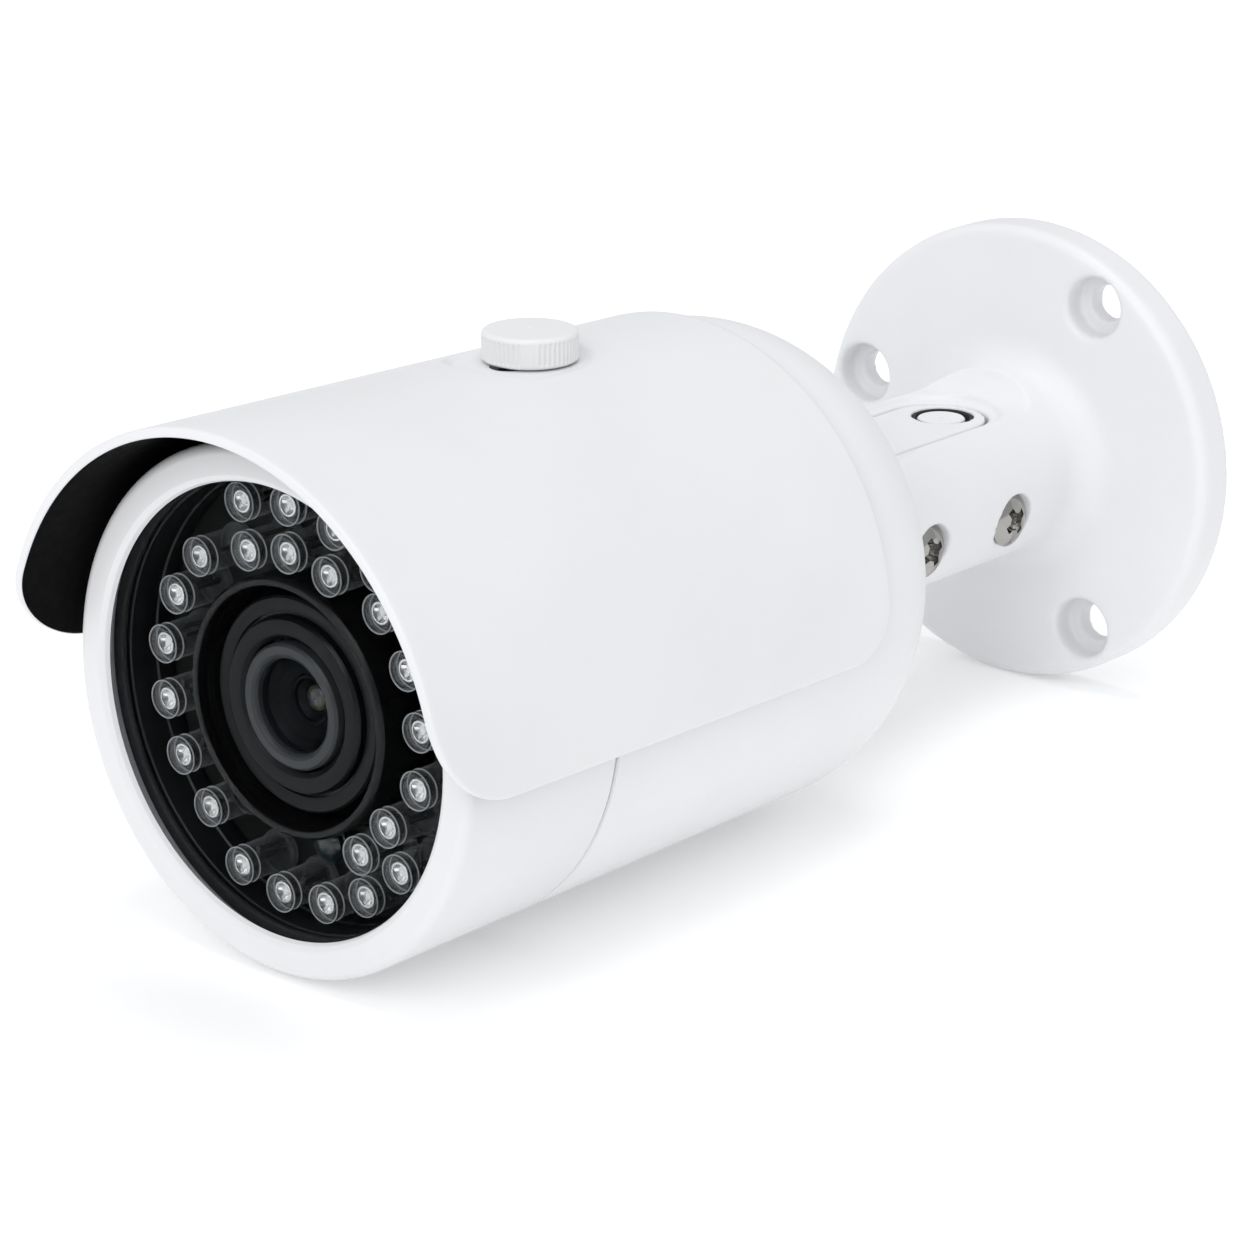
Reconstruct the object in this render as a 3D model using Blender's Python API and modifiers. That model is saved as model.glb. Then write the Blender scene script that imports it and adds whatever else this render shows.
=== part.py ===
"""Bullet security camera on a wall bracket, as an assembly of separate pieces.

Frame: metres, +Z up. The origin is the centre of the bracket flange's wall face, the wall is
on the +Y side, and the lens looks along -Y. All constants below are in millimetres.
"""
import math

import bmesh
import bpy
from mathutils import Matrix, Vector

# ------------------------------------------------------------------ dimensions (mm)
MM = 0.001
SEG_BIG, SEG_MID, SEG_SMALL = 48, 24, 12

FLANGE_R, FLANGE_T, FLANGE_ROUND = 33.6, 6.6, 1.5
HOLE_PCR, HOLE_ANGLES = 27.6, (60.0, 164.5, 300.0)      # wall screw holes, degrees from +X towards +Z
HOLE_R, HOLE_CBORE_R, HOLE_CBORE_DEPTH = 2.6, 4.4, 3.7

STALK_R, STALK_FILLET, STALK_BORE_R = 13.6, 3.6, 5.6
PIV_Y, PIV_Z, CLAMP_Y = -42.0, -4.0, -22.7              # pivot and clamp screw axes, along X
NOSE_R = 13.5                                           # clevis ears are rounded about the pivot
FLAT_Z, RIM_Z, RIM_HALF = 9.9, 9.2, 8.9                 # flat on top of the stalk, sunk rim round the slot
TONGUE_HALF, TONGUE_END = 7.0, 24.6                     # arm half width, reach behind the pivot
POCKET_HALF, POCKET_END, POCKET_FLOOR = 7.4, 25.2, -9.4
TONGUE_TOP = 9.1

COLLAR_R, COLLAR_T, COLLAR_GAP = 13.0, 1.8, 14.1        # roll collar of the arm, in front of the ears
SPIGOT_R, SPIGOT_END = 9.0, -69.0
BODY_R, BODY_WALL = 33.0, 2.2
REAR_Y, DOME_R, REAR_WALL = -58.3, 18.0, 3.0
SEAM_Y, SEAM_GAP = -130.1, 0.3
FRONT_Y, FRONT_ROUND = -156.4, 1.4
GLASS_SIGHT_R, GLASS_R, GLASS_T = 28.3, 30.2, 1.8
GLASS_Y = -155.2
BOARD_Y, BOARD_T, BOARD_R = -144.5, 1.6, 30.1           # front face of the LED board
LED_R, LED_TIP_Y = 2.5, -153.05
HOOD_R = 16.3

SHIELD_ANGLE = 97.5                                     # each side, degrees from the top
SHIELD_FRONT_Y, SHIELD_REAR_Y = -164.7, -79.6
SHIELD_R_FRONT, SHIELD_R_REAR, SHIELD_WALL = 36.7, 34.5, 1.3
SHIELD_LIMITS = {-1: (86.0, 94.0), 1: (93.0, 97.5)}     # side edges, degrees from the top at front and rear, on -X and +X
SHIELD_CORNER_FRONT, SHIELD_CORNER_REAR = 12.5, 6.8
KNOB_Y, KNOB_R, KNOB_TOP = -109.3, 6.1, 38.4
RECESS_Z, RECESS_R, SLOT_R, SHIELD_TRAVEL = 34.2, 7.3, 2.4, 4.0
WASHER_R, WASHER_T = 4.2, 0.4

for old in list(bpy.data.objects):
    bpy.data.objects.remove(old, do_unlink=True)

scene = bpy.context.scene
PARTS = bpy.data.collections.new("security_camera")
CUTTERS = bpy.data.collections.new("cutters")
scene.collection.children.link(PARTS)
scene.collection.children.link(CUTTERS)
CUTTERS.hide_render = True


# ------------------------------------------------------------------ materials
def material(name, colour, rough, metal=0.0, transmission=0.0):
    m = bpy.data.materials.new(name)
    m.use_nodes = True
    b = m.node_tree.nodes["Principled BSDF"]
    b.inputs["Base Color"].default_value = (*colour, 1)
    b.inputs["Roughness"].default_value = rough
    b.inputs["Metallic"].default_value = metal
    b.inputs["Transmission Weight"].default_value = transmission
    return m


WHITE = material("white_powder_coat", (0.86, 0.87, 0.88), 0.45)
WHITE_PLASTIC = material("white_plastic", (0.84, 0.85, 0.86), 0.5)
STAINLESS = material("stainless_steel", (0.62, 0.61, 0.6), 0.28, 1.0)
BRASS = material("nickelled_brass", (0.7, 0.66, 0.55), 0.3, 1.0)
ALUMINIUM = material("bare_aluminium", (0.74, 0.75, 0.76), 0.4, 1.0)
BLACK_RUBBER = material("black_rubber", (0.03, 0.03, 0.03), 0.8)
BLACK_PLASTIC = material("black_plastic", (0.02, 0.02, 0.022), 0.45)
BLACK_METAL = material("black_anodised", (0.02, 0.02, 0.022), 0.35, 0.6)
GLASS = material("clear_glass", (0.95, 0.97, 0.98), 0.02, 0.0, 1.0)
LENS_GLASS = material("coated_lens_glass", (0.3, 0.34, 0.4), 0.03, 0.0, 0.9)
BOARD = material("black_circuit_board", (0.03, 0.035, 0.035), 0.4)
GREEN_BOARD = material("green_circuit_board", (0.02, 0.2, 0.09), 0.4)
CHIP = material("black_chip", (0.02, 0.02, 0.02), 0.5)
PAD = material("grey_thermal_pad", (0.4, 0.43, 0.45), 0.8)
FILTER = material("blue_filter_glass", (0.25, 0.5, 0.65), 0.05, 0.0, 0.7)


# ------------------------------------------------------------------ building helpers
def put(obj, mat=None, collection=PARTS):
    collection.objects.link(obj)
    if mat is not None:
        obj.data.materials.append(mat)
    if collection is CUTTERS:
        obj.hide_render = True
        obj.display_type = "WIRE"
    return obj


def turn_to(obj, axis, loc):
    """Local +Z onto the named world axis, at a point given in mm."""
    rot = {"Z": Matrix(), "Y": Matrix.Rotation(-math.pi / 2, 4, "X"), "X": Matrix.Rotation(math.pi / 2, 4, "Y")}[axis]
    obj.matrix_world = Matrix.Translation(Vector(loc) * MM) @ rot
    return obj


def lathe(name, profile, mat=None, axis="Y", loc=(0, 0, 0), seg=SEG_BIG, collection=PARTS):
    """A turned shape: profile is (radius, position along the axis) in mm, as one closed outline."""
    area = sum(a[0] * b[1] - b[0] * a[1] for a, b in zip(profile, profile[1:] + profile[:1]))
    pts = list(profile) if area < 0 else list(reversed(profile))
    on_axis = [i for i, p in enumerate(pts) if p[0] == 0]
    closed = True
    if on_axis:
        # start after the run along the axis, so that the outline is open there
        for i in on_axis:
            if pts[(i + 1) % len(pts)][0] != 0:
                pts = pts[i:] + pts[:i]
                break
        closed = False
    me = bpy.data.meshes.new(name)
    bm = bmesh.new()
    vs = [bm.verts.new((r * MM, 0, t * MM)) for r, t in pts]
    for a, b in zip(vs, vs[1:] + ([vs[0]] if closed else [])):
        if a is not b:
            bm.edges.new((a, b))
    bm.to_mesh(me)
    bm.free()
    obj = put(bpy.data.objects.new(name, me), mat, collection)
    sc = obj.modifiers.new("turned", "SCREW")
    sc.steps = sc.render_steps = seg
    sc.angle = 2 * math.pi
    sc.use_merge_vertices = True
    sc.merge_threshold = 1e-6
    sc.use_smooth_shade = True
    return turn_to(obj, axis, loc)


def slab(name, outline, half, mat=None, plane="XY", loc=(0, 0, 0), collection=PARTS):
    """A flat outline (mm) as a filled 2D curve, 2 x half thick, then made a mesh."""
    cu = bpy.data.curves.new(name + "_outline", "CURVE")
    cu.dimensions = "2D"
    cu.fill_mode = "BOTH"
    cu.extrude = half * MM
    sp = cu.splines.new("POLY")
    sp.points.add(len(outline) - 1)
    for p, (x, y) in zip(sp.points, outline):
        p.co = (x * MM, y * MM, 0, 1)
    sp.use_cyclic_u = True
    guide = bpy.data.objects.new(name + "_guide", cu)
    scene.collection.objects.link(guide)
    bpy.context.view_layer.update()
    me = bpy.data.meshes.new_from_object(guide.evaluated_get(bpy.context.evaluated_depsgraph_get()))
    bpy.data.objects.remove(guide, do_unlink=True)
    bm = bmesh.new()
    bm.from_mesh(me)
    bmesh.ops.remove_doubles(bm, verts=bm.verts, dist=1e-7)
    bmesh.ops.recalc_face_normals(bm, faces=bm.faces)
    bm.to_mesh(me)
    bm.free()
    me.name = name
    obj = put(bpy.data.objects.new(name, me), mat, collection)
    rot = {"XY": Matrix(), "XZ": Matrix.Rotation(math.pi / 2, 4, "X"), "YZ": Matrix.Rotation(math.pi / 2, 4, "Z") @ Matrix.Rotation(math.pi / 2, 4, "X")}[plane]
    obj.matrix_world = Matrix.Translation(Vector(loc) * MM) @ rot
    return obj


def block(name, size, loc, mat=None, collection=PARTS, bevel=0.0):
    me = bpy.data.meshes.new(name)
    bm = bmesh.new()
    bmesh.ops.create_cube(bm, size=1.0)
    bmesh.ops.scale(bm, vec=[s * MM for s in size], verts=bm.verts)
    bm.to_mesh(me)
    bm.free()
    obj = put(bpy.data.objects.new(name, me), mat, collection)
    obj.location = Vector(loc) * MM
    if bevel:
        b = obj.modifiers.new("rounded", "BEVEL")
        b.width, b.segments = bevel * MM, 2
    return obj


def rod(name, r, length, loc, axis="Y", mat=None, seg=SEG_SMALL, collection=PARTS):
    me = bpy.data.meshes.new(name)
    bm = bmesh.new()
    bmesh.ops.create_cone(bm, cap_ends=True, segments=seg, radius1=r * MM, radius2=r * MM, depth=length * MM)
    bm.to_mesh(me)
    bm.free()
    obj = put(bpy.data.objects.new(name, me), mat, collection)
    return turn_to(obj, axis, loc)


def boolean(obj, other, op="DIFFERENCE"):
    m = obj.modifiers.new(op.lower(), "BOOLEAN")
    m.operation, m.object, m.solver = op, other, "EXACT"
    return obj


def arc(cx, cy, r, a0, a1, n):
    return [(cx + r * math.cos(math.radians(a0 + (a1 - a0) * i / n)), cy + r * math.sin(math.radians(a0 + (a1 - a0) * i / n))) for i in range(n + 1)]


def obround(x0, y0, y1, r, n=10):
    """Outline of a slot of radius r whose end centres are (x0, y0) and (x0, y1)."""
    return arc(x0, y1, r, 0, 180, n) + arc(x0, y0, r, 180, 360, n)


def ring(r_in, r_out, t0, t1, c=0.0):
    """Closed outline of a ring, with small chamfers if asked."""
    if not c:
        return [(r_in, t0), (r_out, t0), (r_out, t1), (r_in, t1)]
    return [(r_in, t0 + c), (r_in + c, t0), (r_out - c, t0), (r_out, t0 + c), (r_out, t1 - c), (r_out - c, t1), (r_in + c, t1), (r_in, t1 - c)]


def torus_outline(major, centre, minor, n=6):
    return arc(major, centre, minor, 0, 360 * (n - 1) / n, n - 1)


def settle(obj):
    """Fix the modifiers into the mesh, for a shape that takes part in a later Boolean."""
    bpy.context.view_layer.update()
    me = bpy.data.meshes.new_from_object(obj.evaluated_get(bpy.context.evaluated_depsgraph_get()))
    obj.modifiers.clear()
    obj.data = me
    return obj


# ------------------------------------------------------------------ bracket: flange, stalk and clevis ears
stalk_front = PIV_Y - NOSE_R - 1.0
root_y = -FLANGE_T
profile = [(0.0, 0.0), (FLANGE_R - 0.4, 0.0), (FLANGE_R, -0.4)]
profile += arc(FLANGE_R - FLANGE_ROUND, root_y + FLANGE_ROUND, FLANGE_ROUND, 0, -90, 3)
profile += arc(STALK_R + STALK_FILLET, root_y - STALK_FILLET, STALK_FILLET, 90, 180, 4)
profile += [(STALK_R, stalk_front), (0.0, stalk_front)]
flange = lathe("wall_flange", profile, WHITE)

# side outline: ears rounded about the pivot, flat on top, running out before the flange
side = [(2.0, -45.0), (PIV_Y, -45.0)]
side += arc(PIV_Y, PIV_Z, NOSE_R, 270, 90, 12)
side += [(PIV_Y + 1.0, FLAT_Z - 0.2), (PIV_Y + 3.0, FLAT_Z), (-15.4, FLAT_Z), (-13.4, FLAT_Z + 0.9), (-11.6, FLAT_Z + 2.6), (-9.6, FLAT_Z + 6.0), (-8.0, 45.0), (2.0, 45.0)]
boolean(flange, slab("side_outline", side, 45.0, None, "YZ", (0, 0, 0), CUTTERS), "INTERSECT")

# arm pocket: round ended slot from the top, open at the front, with a floor behind the pivot
u_centre = PIV_Y + POCKET_END - POCKET_HALF
slot = arc(0, u_centre, POCKET_HALF, 0, 180, 8) + [(-POCKET_HALF, stalk_front - 5), (POCKET_HALF, stalk_front - 5)]
boolean(flange, slab("pocket_upper", slot, 20.0, None, "XY", (0, 0, POCKET_FLOOR + 20.0), CUTTERS))
boolean(flange, block("pocket_lower", (2 * POCKET_HALF, 30.0, 40.0), (0, PIV_Y + 4.0 - 15.0, POCKET_FLOOR - 10.0), None, CUTTERS))
rim_centre = u_centre + 0.4
rim = arc(0, rim_centre, RIM_HALF, 0, 180, 10) + [(-RIM_HALF, stalk_front - 5), (RIM_HALF, stalk_front - 5)]
boolean(flange, slab("pocket_rim", rim, 6.0, None, "XY", (0, 0, RIM_Z + 6.0), CUTTERS))

# screw holes across the ears: countersunk on the +X side, threaded on the -X side
EAR_FACE = 11.9


def screw_way(name, y):
    way = [(0, 30.0), (4.0, 30.0), (4.0, EAR_FACE), (2.2, EAR_FACE - 2.2), (2.2, -POCKET_HALF - 4.1), (0, -POCKET_HALF - 4.1)]
    return lathe(name, way, None, "X", (0, y, PIV_Z), SEG_SMALL, CUTTERS)


boolean(flange, screw_way("pivot_way", PIV_Y))
boolean(flange, screw_way("clamp_way", CLAMP_Y))
settle(flange)

# cable way from the pocket to the wall, and its seat for the grommet
boolean(flange, lathe("cable_way", [(0, -24.0), (STALK_BORE_R, -24.0), (STALK_BORE_R, -4.2), (8.4, -4.2), (8.4, 3.0), (0, 3.0)], None, "Y", (0, 0, 0), SEG_MID, CUTTERS))

# wall screw holes, counterbored from the front
for i, deg in enumerate(HOLE_ANGLES):
    x, z = HOLE_PCR * math.cos(math.radians(deg)), HOLE_PCR * math.sin(math.radians(deg))
    cb = root_y + HOLE_CBORE_DEPTH
    hole = [(0, root_y - 5), (HOLE_CBORE_R + 0.5, root_y - 5), (HOLE_CBORE_R + 0.5, root_y), (HOLE_CBORE_R, root_y + 0.5), (HOLE_CBORE_R, cb), (HOLE_R, cb), (HOLE_R, 3.0), (0, 3.0)]
    boolean(flange, lathe("wall_hole_%d" % (i + 1), hole, None, "Y", (x, 0, z), SEG_SMALL, CUTTERS))

def cross_screw(name, y):
    """Oval head screw with a cross recess, along X: head at +X, tip in the far ear."""
    h = EAR_FACE
    prof = [(0, h + 0.75), (1.6, h + 0.6), (3.0, h + 0.1), (3.55, h - 0.35), (1.9, h - 2.1), (1.9, -10.5), (1.3, -11.1), (0, -11.1)]
    s = lathe(name, prof, STAINLESS, "X", (0, y, PIV_Z), SEG_SMALL)
    for k, rot in enumerate((0, 90)):
        c = block("%s_recess_%d" % (name, k), (3.2, 0.9, 3.6) if k == 0 else (3.2, 3.6, 0.9), (h + 0.75, y, PIV_Z), None, CUTTERS)
        c.rotation_euler = (math.radians(20), 0, 0)
        boolean(s, c)
    return s


cross_screw("pivot_screw", PIV_Y)
cross_screw("clamp_screw", CLAMP_Y)
lathe("pivot_bush", [(2.2, -6.6), (3.3, -6.6), (3.3, 6.6), (2.2, 6.6)], BLACK_PLASTIC, "X", (0, PIV_Y, PIV_Z), SEG_SMALL)
lathe("cable_grommet", [(3.2, -4.0), (5.2, -4.0), (5.2, -3.9), (8.1, -3.9), (8.1, -0.3), (3.2, -0.3)], BLACK_RUBBER, "Y", (0, 0, 0), SEG_SMALL)

# ------------------------------------------------------------------ tilt arm
arm_empty = bpy.data.objects.new("tilt_axis", None)
PARTS.objects.link(arm_empty)
arm_empty.location = Vector((0, PIV_Y, PIV_Z)) * MM

collar_back = PIV_Y - COLLAR_GAP
collar_front = collar_back - COLLAR_T
tu = PIV_Y + TONGUE_END - TONGUE_HALF
plan = arc(0, tu, TONGUE_HALF, 0, 180, 8) + [(-TONGUE_HALF, collar_back - 0.6), (TONGUE_HALF, collar_back - 0.6)]
arm = slab("tilt_arm", plan, 12.0, WHITE, "XY", (0, 0, 0))
# side outline of the arm: hub round the pivot, tail over the clamp screw, neck to the collar
hub = arc(PIV_Y, PIV_Z, 5.0, 300, 180, 5)
arm_side = [(PIV_Y + 40, TONGUE_TOP), (PIV_Y + 40, -1.0), (PIV_Y + 9.0, -1.0), (PIV_Y + 5.6, -4.0)] + hub + [(PIV_Y - 6.0, -7.2), (collar_back - 3.0, -7.2), (collar_back - 3.0, 8.2), (PIV_Y - 6.0, 8.4), (PIV_Y - 1.0, TONGUE_TOP)]
boolean(arm, slab("arm_side_outline", arm_side, 20.0, None, "YZ", (0, 0, 0), CUTTERS), "INTERSECT")
settle(arm)
collar = lathe("collar_and_spigot", [(0, collar_back), (COLLAR_R - 0.4, collar_back), (COLLAR_R, collar_back - 0.4), (COLLAR_R, collar_front), (SPIGOT_R, collar_front), (SPIGOT_R, SPIGOT_END + 0.6), (SPIGOT_R - 0.6, SPIGOT_END), (0, SPIGOT_END)], None, "Y", (0, 0, 0), SEG_MID, CUTTERS)
settle(collar)
boolean(arm, collar, "UNION")
boolean(arm, lathe("arm_cable_bore", [(0, SPIGOT_END - 2), (4.6, SPIGOT_END - 2), (4.6, collar_back + 2.5), (2.5, collar_back + 5.5), (2.5, -10.0), (0, -10.0)], None, "Y", (0, 0, 2.6), SEG_SMALL, CUTTERS))
boolean(arm, rod("arm_pivot_bore", 3.6, 30.0, (0, PIV_Y, PIV_Z), "X", None, SEG_SMALL, CUTTERS))
boolean(arm, lathe("arm_port", [(0, 20.0), (4.4, 20.0), (4.4, 7.4), (2.6, 7.4), (2.6, 2.6), (0, 2.6)], None, "Z", (0, CLAMP_Y, 0), SEG_SMALL, CUTTERS))
lathe("arm_port_plug", [(0, 8.5), (0.35, 8.5), (0.6, 8.9), (3.3, 8.9), (3.7, 8.5), (3.7, 7.7), (2.2, 7.7), (2.2, 6.0), (0, 6.0)], WHITE_PLASTIC, "Z", (0, CLAMP_Y, 0), SEG_SMALL)

lathe("thrust_washer", [(9.4, -61.6), (13.4, -61.6), (13.4, -62.5), (9.4, -62.5)], BLACK_PLASTIC, "Y", (0, 0, 0), SEG_MID)
nut = lathe("lock_nut", ring(9.3, 13.2, -66.6, -62.8), STAINLESS, "Y", (0, 0, 0), SEG_MID)
for k in range(4):
    a = math.radians(45 + 90 * k)
    c = block("nut_notch_%d" % (k + 1), (3.0, 6.0, 3.0), (13.2 * math.cos(a), -66.6, 13.2 * math.sin(a)), None, CUTTERS)
    c.rotation_euler = (0, -a, 0)
    boolean(nut, c)

# ------------------------------------------------------------------ camera body shells
roll_empty = bpy.data.objects.new("roll_axis", None)
PARTS.objects.link(roll_empty)
roll_empty.parent = arm_empty
roll_empty.location = Vector((0, REAR_Y - PIV_Y, -PIV_Z)) * MM

ri = BODY_R - BODY_WALL
housing_profile = [(9.4, REAR_Y), (9.9, REAR_Y), (9.9, REAR_Y - 1.6), (12.5, REAR_Y - 1.6), (12.5, REAR_Y), (BODY_R - DOME_R, REAR_Y)]
housing_profile += arc(BODY_R - DOME_R, REAR_Y - DOME_R, DOME_R, 90, 0, 6)[1:]
housing_profile += [(BODY_R, SEAM_Y + 0.5), (BODY_R - 0.35, SEAM_Y + 0.1), (ri, SEAM_Y + 0.1)]
inner_r = DOME_R - REAR_WALL
housing_profile += [(ri - inner_r + inner_r * math.cos(math.radians(a)), REAR_Y - REAR_WALL - inner_r + inner_r * math.sin(math.radians(a))) for a in range(0, 91, 30)] + [(9.4, REAR_Y - REAR_WALL)]
housing = lathe("main_housing", housing_profile, WHITE)
# threaded boss under the top of the shell for the thumbscrew
BOSS_BOTTOM = 27.0
boss = rod("thumbscrew_boss", 4.2, 5.4, (0, KNOB_Y, BOSS_BOTTOM + 2.7), "Z", None, SEG_SMALL, CUTTERS)
settle(housing)
boolean(housing, boss, "UNION")
boolean(housing, rod("thumbscrew_thread", 2.3, 14.0, (0, KNOB_Y, 32.0), "Z", None, SEG_SMALL, CUTTERS))

lathe("rear_o_ring", torus_outline(11.2, REAR_Y - 0.62, 0.72), BLACK_RUBBER, "Y", (0, 0, 0), SEG_MID)

fy = FRONT_Y
barrel_profile = [(29.9, SEAM_Y + 9.0), (29.9, SEAM_Y + 5.2), (28.95, SEAM_Y + 5.2), (28.95, SEAM_Y + 3.2), (29.9, SEAM_Y + 3.2), (29.9, SEAM_Y - SEAM_GAP), (BODY_R - 0.35, SEAM_Y - SEAM_GAP), (BODY_R, SEAM_Y - SEAM_GAP - 0.35)]
barrel_profile += arc(BODY_R - FRONT_ROUND, fy + FRONT_ROUND, FRONT_ROUND, 0, -90, 3)
barrel_profile += [(GLASS_SIGHT_R + 0.9, fy), (GLASS_SIGHT_R + 0.25, fy + 0.3), (GLASS_SIGHT_R, GLASS_Y - 0.1), (30.5, GLASS_Y - 0.1), (30.5, SEAM_Y - 5.0), (27.6, SEAM_Y - 3.4), (27.6, SEAM_Y + 9.0)]
barrel = lathe("front_barrel", barrel_profile, WHITE)
lathe("barrel_o_ring", torus_outline(29.85, SEAM_Y + 4.2, 0.72), BLACK_RUBBER)

lathe("front_glass", [(0, GLASS_Y), (GLASS_R - 0.3, GLASS_Y), (GLASS_R, GLASS_Y + 0.3), (GLASS_R, GLASS_Y + GLASS_T), (0, GLASS_Y + GLASS_T)], GLASS)
lathe("glass_gasket", ring(28.5, GLASS_R, -153.1, -152.2), BLACK_RUBBER)
lathe("board_spacer", ring(28.3, GLASS_R, -151.9, BOARD_Y - 0.3), BLACK_PLASTIC)

# ------------------------------------------------------------------ infrared LED board
# five groups of LEDs (radius, first angle, step, count), degrees from +X towards +Z
LED_GROUPS = ((21.7, -14.0, 19.5, 4), (21.7, 133.0, 19.0, 5), (21.7, 228.5, 0.0, 1),
              (25.3, 53.0, 17.8, 4), (19.4, 68.0, 20.5, 3), (24.3, 248.0, 17.3, 5), (19.5, 305.5, 19.3, 2))
board = lathe("ir_led_board", [(16.9, BOARD_Y), (BOARD_R, BOARD_Y), (BOARD_R, BOARD_Y + BOARD_T), (16.9, BOARD_Y + BOARD_T)], BOARD, "Y", (0, 0, 0), SEG_BIG)
settle(board)
led_no = 0
for radius, first, step, count in LED_GROUPS:
    for i in range(count):
        a = math.radians(first + step * i)
        led_no += 1
        led = [(0, BOARD_Y + 0.8), (LED_R, BOARD_Y + 0.8), (LED_R, LED_TIP_Y + 2.0), (1.5, LED_TIP_Y + 0.4), (0, LED_TIP_Y)]
        boolean(board, lathe("led_%02d" % led_no, led, None, "Y", (radius * math.cos(a), 0, radius * math.sin(a)), 8, CUTTERS), "UNION")
# hole in the board for the light sensor
SENSOR_X, SENSOR_Z = 0.4, -18.9
lathe("light_sensor", [(0, BOARD_Y - 3.4), (1.6, BOARD_Y - 3.2), (2.2, BOARD_Y - 2.6), (2.2, BOARD_Y - 0.3), (0, BOARD_Y - 0.3)], LENS_GLASS, "Y", (SENSOR_X, 0, SENSOR_Z), SEG_SMALL)

# ------------------------------------------------------------------ lens group
lathe("lens_hood", [(14.9, -152.9), (15.3, -153.2), (HOOD_R - 0.4, -153.2), (HOOD_R, -152.8), (HOOD_R, -141.0), (14.9, -141.0)], BLACK_METAL, "Y", (0, 0, 0), SEG_BIG)
lathe("lens_barrel", [(7.2, -149.2), (8.2, -149.2), (9.6, -151.6), (10.2, -151.6), (12.2, -147.5), (14.5, -147.2), (14.5, -141.0), (9.2, -141.0), (9.2, -134.0), (6.0, -134.0), (6.0, -138.0), (7.2, -138.0)], BLACK_METAL, "Y", (0, 0, 0), SEG_MID)
lathe("lens_front_element", [(0, -149.4)] + [(6.8 * math.sin(math.radians(a)) , -147.9 - 1.5 * math.cos(math.radians(a))) for a in (20, 40, 60, 80)] + [(6.9, -147.4), (6.9, -144.6), (5.0, -144.2), (0, -143.4)], LENS_GLASS, "Y", (0, 0, 0), SEG_MID)
lathe("lens_retaining_ring", ring(5.6, 8.0, -152.4, -149.6), BLACK_METAL, "Y", (0, 0, 0), SEG_MID)
lathe("lens_rear_element", [(0, -141.6), (5.2, -141.0), (5.7, -140.6), (5.7, -138.4), (0, -138.0)], LENS_GLASS, "Y", (0, 0, 0), SEG_SMALL)
lathe("lens_holder", [(9.6, -140.6), (13.6, -140.6), (13.6, -137.4), (11.2, -136.8), (11.2, -131.0), (9.6, -131.0)], BLACK_PLASTIC, "Y", (0, 0, 0), SEG_MID)

# infrared cut filter that slides across between lens and sensor
frame_piece = block("ir_cut_frame", (22.0, 3.6, 15.0), (4.4, -128.8, 0), BLACK_PLASTIC)
boolean(frame_piece, block("ir_cut_channel", (18.7, 1.5, 11.0), (4.45, -128.8, 0), None, CUTTERS))
boolean(frame_piece, rod("ir_cut_window", 4.2, 9.0, (0, -128.8, 0), "Y", None, SEG_SMALL, CUTTERS))
ir_filter = block("ir_cut_filter", (9.0, 0.8, 10.0), (0, -128.8, 0), FILTER)

block("sensor_board", (26.0, 1.2, 26.0), (0, -124.0, 0), GREEN_BOARD)
block("image_sensor", (9.0, 1.1, 7.4), (0, -125.5, 0), CHIP)

# cast carrier that holds the optics and both boards
carrier = lathe("carrier", [(17.2, BOARD_Y + BOARD_T + 0.3), (27.2, BOARD_Y + BOARD_T + 0.3), (27.2, -139.2), (17.2, -139.2)], ALUMINIUM, "Y", (0, 0, 0), SEG_MID)
settle(carrier)
for i, sx in enumerate((-1, 1)):
    boolean(carrier, block("carrier_rail_%d" % (i + 1), (2.4, 60.0, 13.0), (sx * 22.0, -110.4, 0), None, CUTTERS), "UNION")
    boolean(carrier, block("carrier_foot_%d" % (i + 1), (9.6, 2.4, 27.0), (sx * 18.4, -121.2, 0), None, CUTTERS), "UNION")

block("main_board", (38.0, 1.6, 38.0), (0, -96.0, 0), GREEN_BOARD)
block("processor", (14.0, 1.6, 14.0), (0, -97.9, 0), CHIP)
block("thermal_pad", (13.0, 1.0, 13.0), (0, -99.5, 0), PAD)
sink = block("heat_sink", (16.0, 9.0, 16.0), (0, -104.8, 0), ALUMINIUM)
for k in range(3):
    boolean(sink, block("fin_gap_%d" % (k + 1), (2.6, 6.4, 20.0), (-4.6 + 4.6 * k, -107.2, 0), None, CUTTERS))
for i, (sx, sz) in enumerate(((-1, -1), (1, -1), (-1, 1), (1, 1))):
    x, z = sx * 16.0, sz * 10.6
    lathe("standoff_%d" % (i + 1), [(1.4, -119.7), (2.6, -119.7), (2.6, -97.1), (1.4, -97.1)], BRASS, "Y", (x, 0, z), 6)

# ------------------------------------------------------------------ sunshield with its slot and thumbscrew
def shield_radius(y):
    t = (y - SHIELD_FRONT_Y) / (SHIELD_REAR_Y - SHIELD_FRONT_Y)
    return SHIELD_R_FRONT + (SHIELD_R_REAR - SHIELD_R_FRONT) * t


def leaned(phi, y):
    """Angle of a point whose angle is phi on a sheet that ends at SHIELD_ANGLE on both sides."""
    t = (y - SHIELD_FRONT_Y) / (SHIELD_REAR_Y - SHIELD_FRONT_Y)
    a, b = SHIELD_LIMITS[1 if phi > 0 else -1]
    return phi * (a + (b - a) * t) / SHIELD_ANGLE


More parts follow.
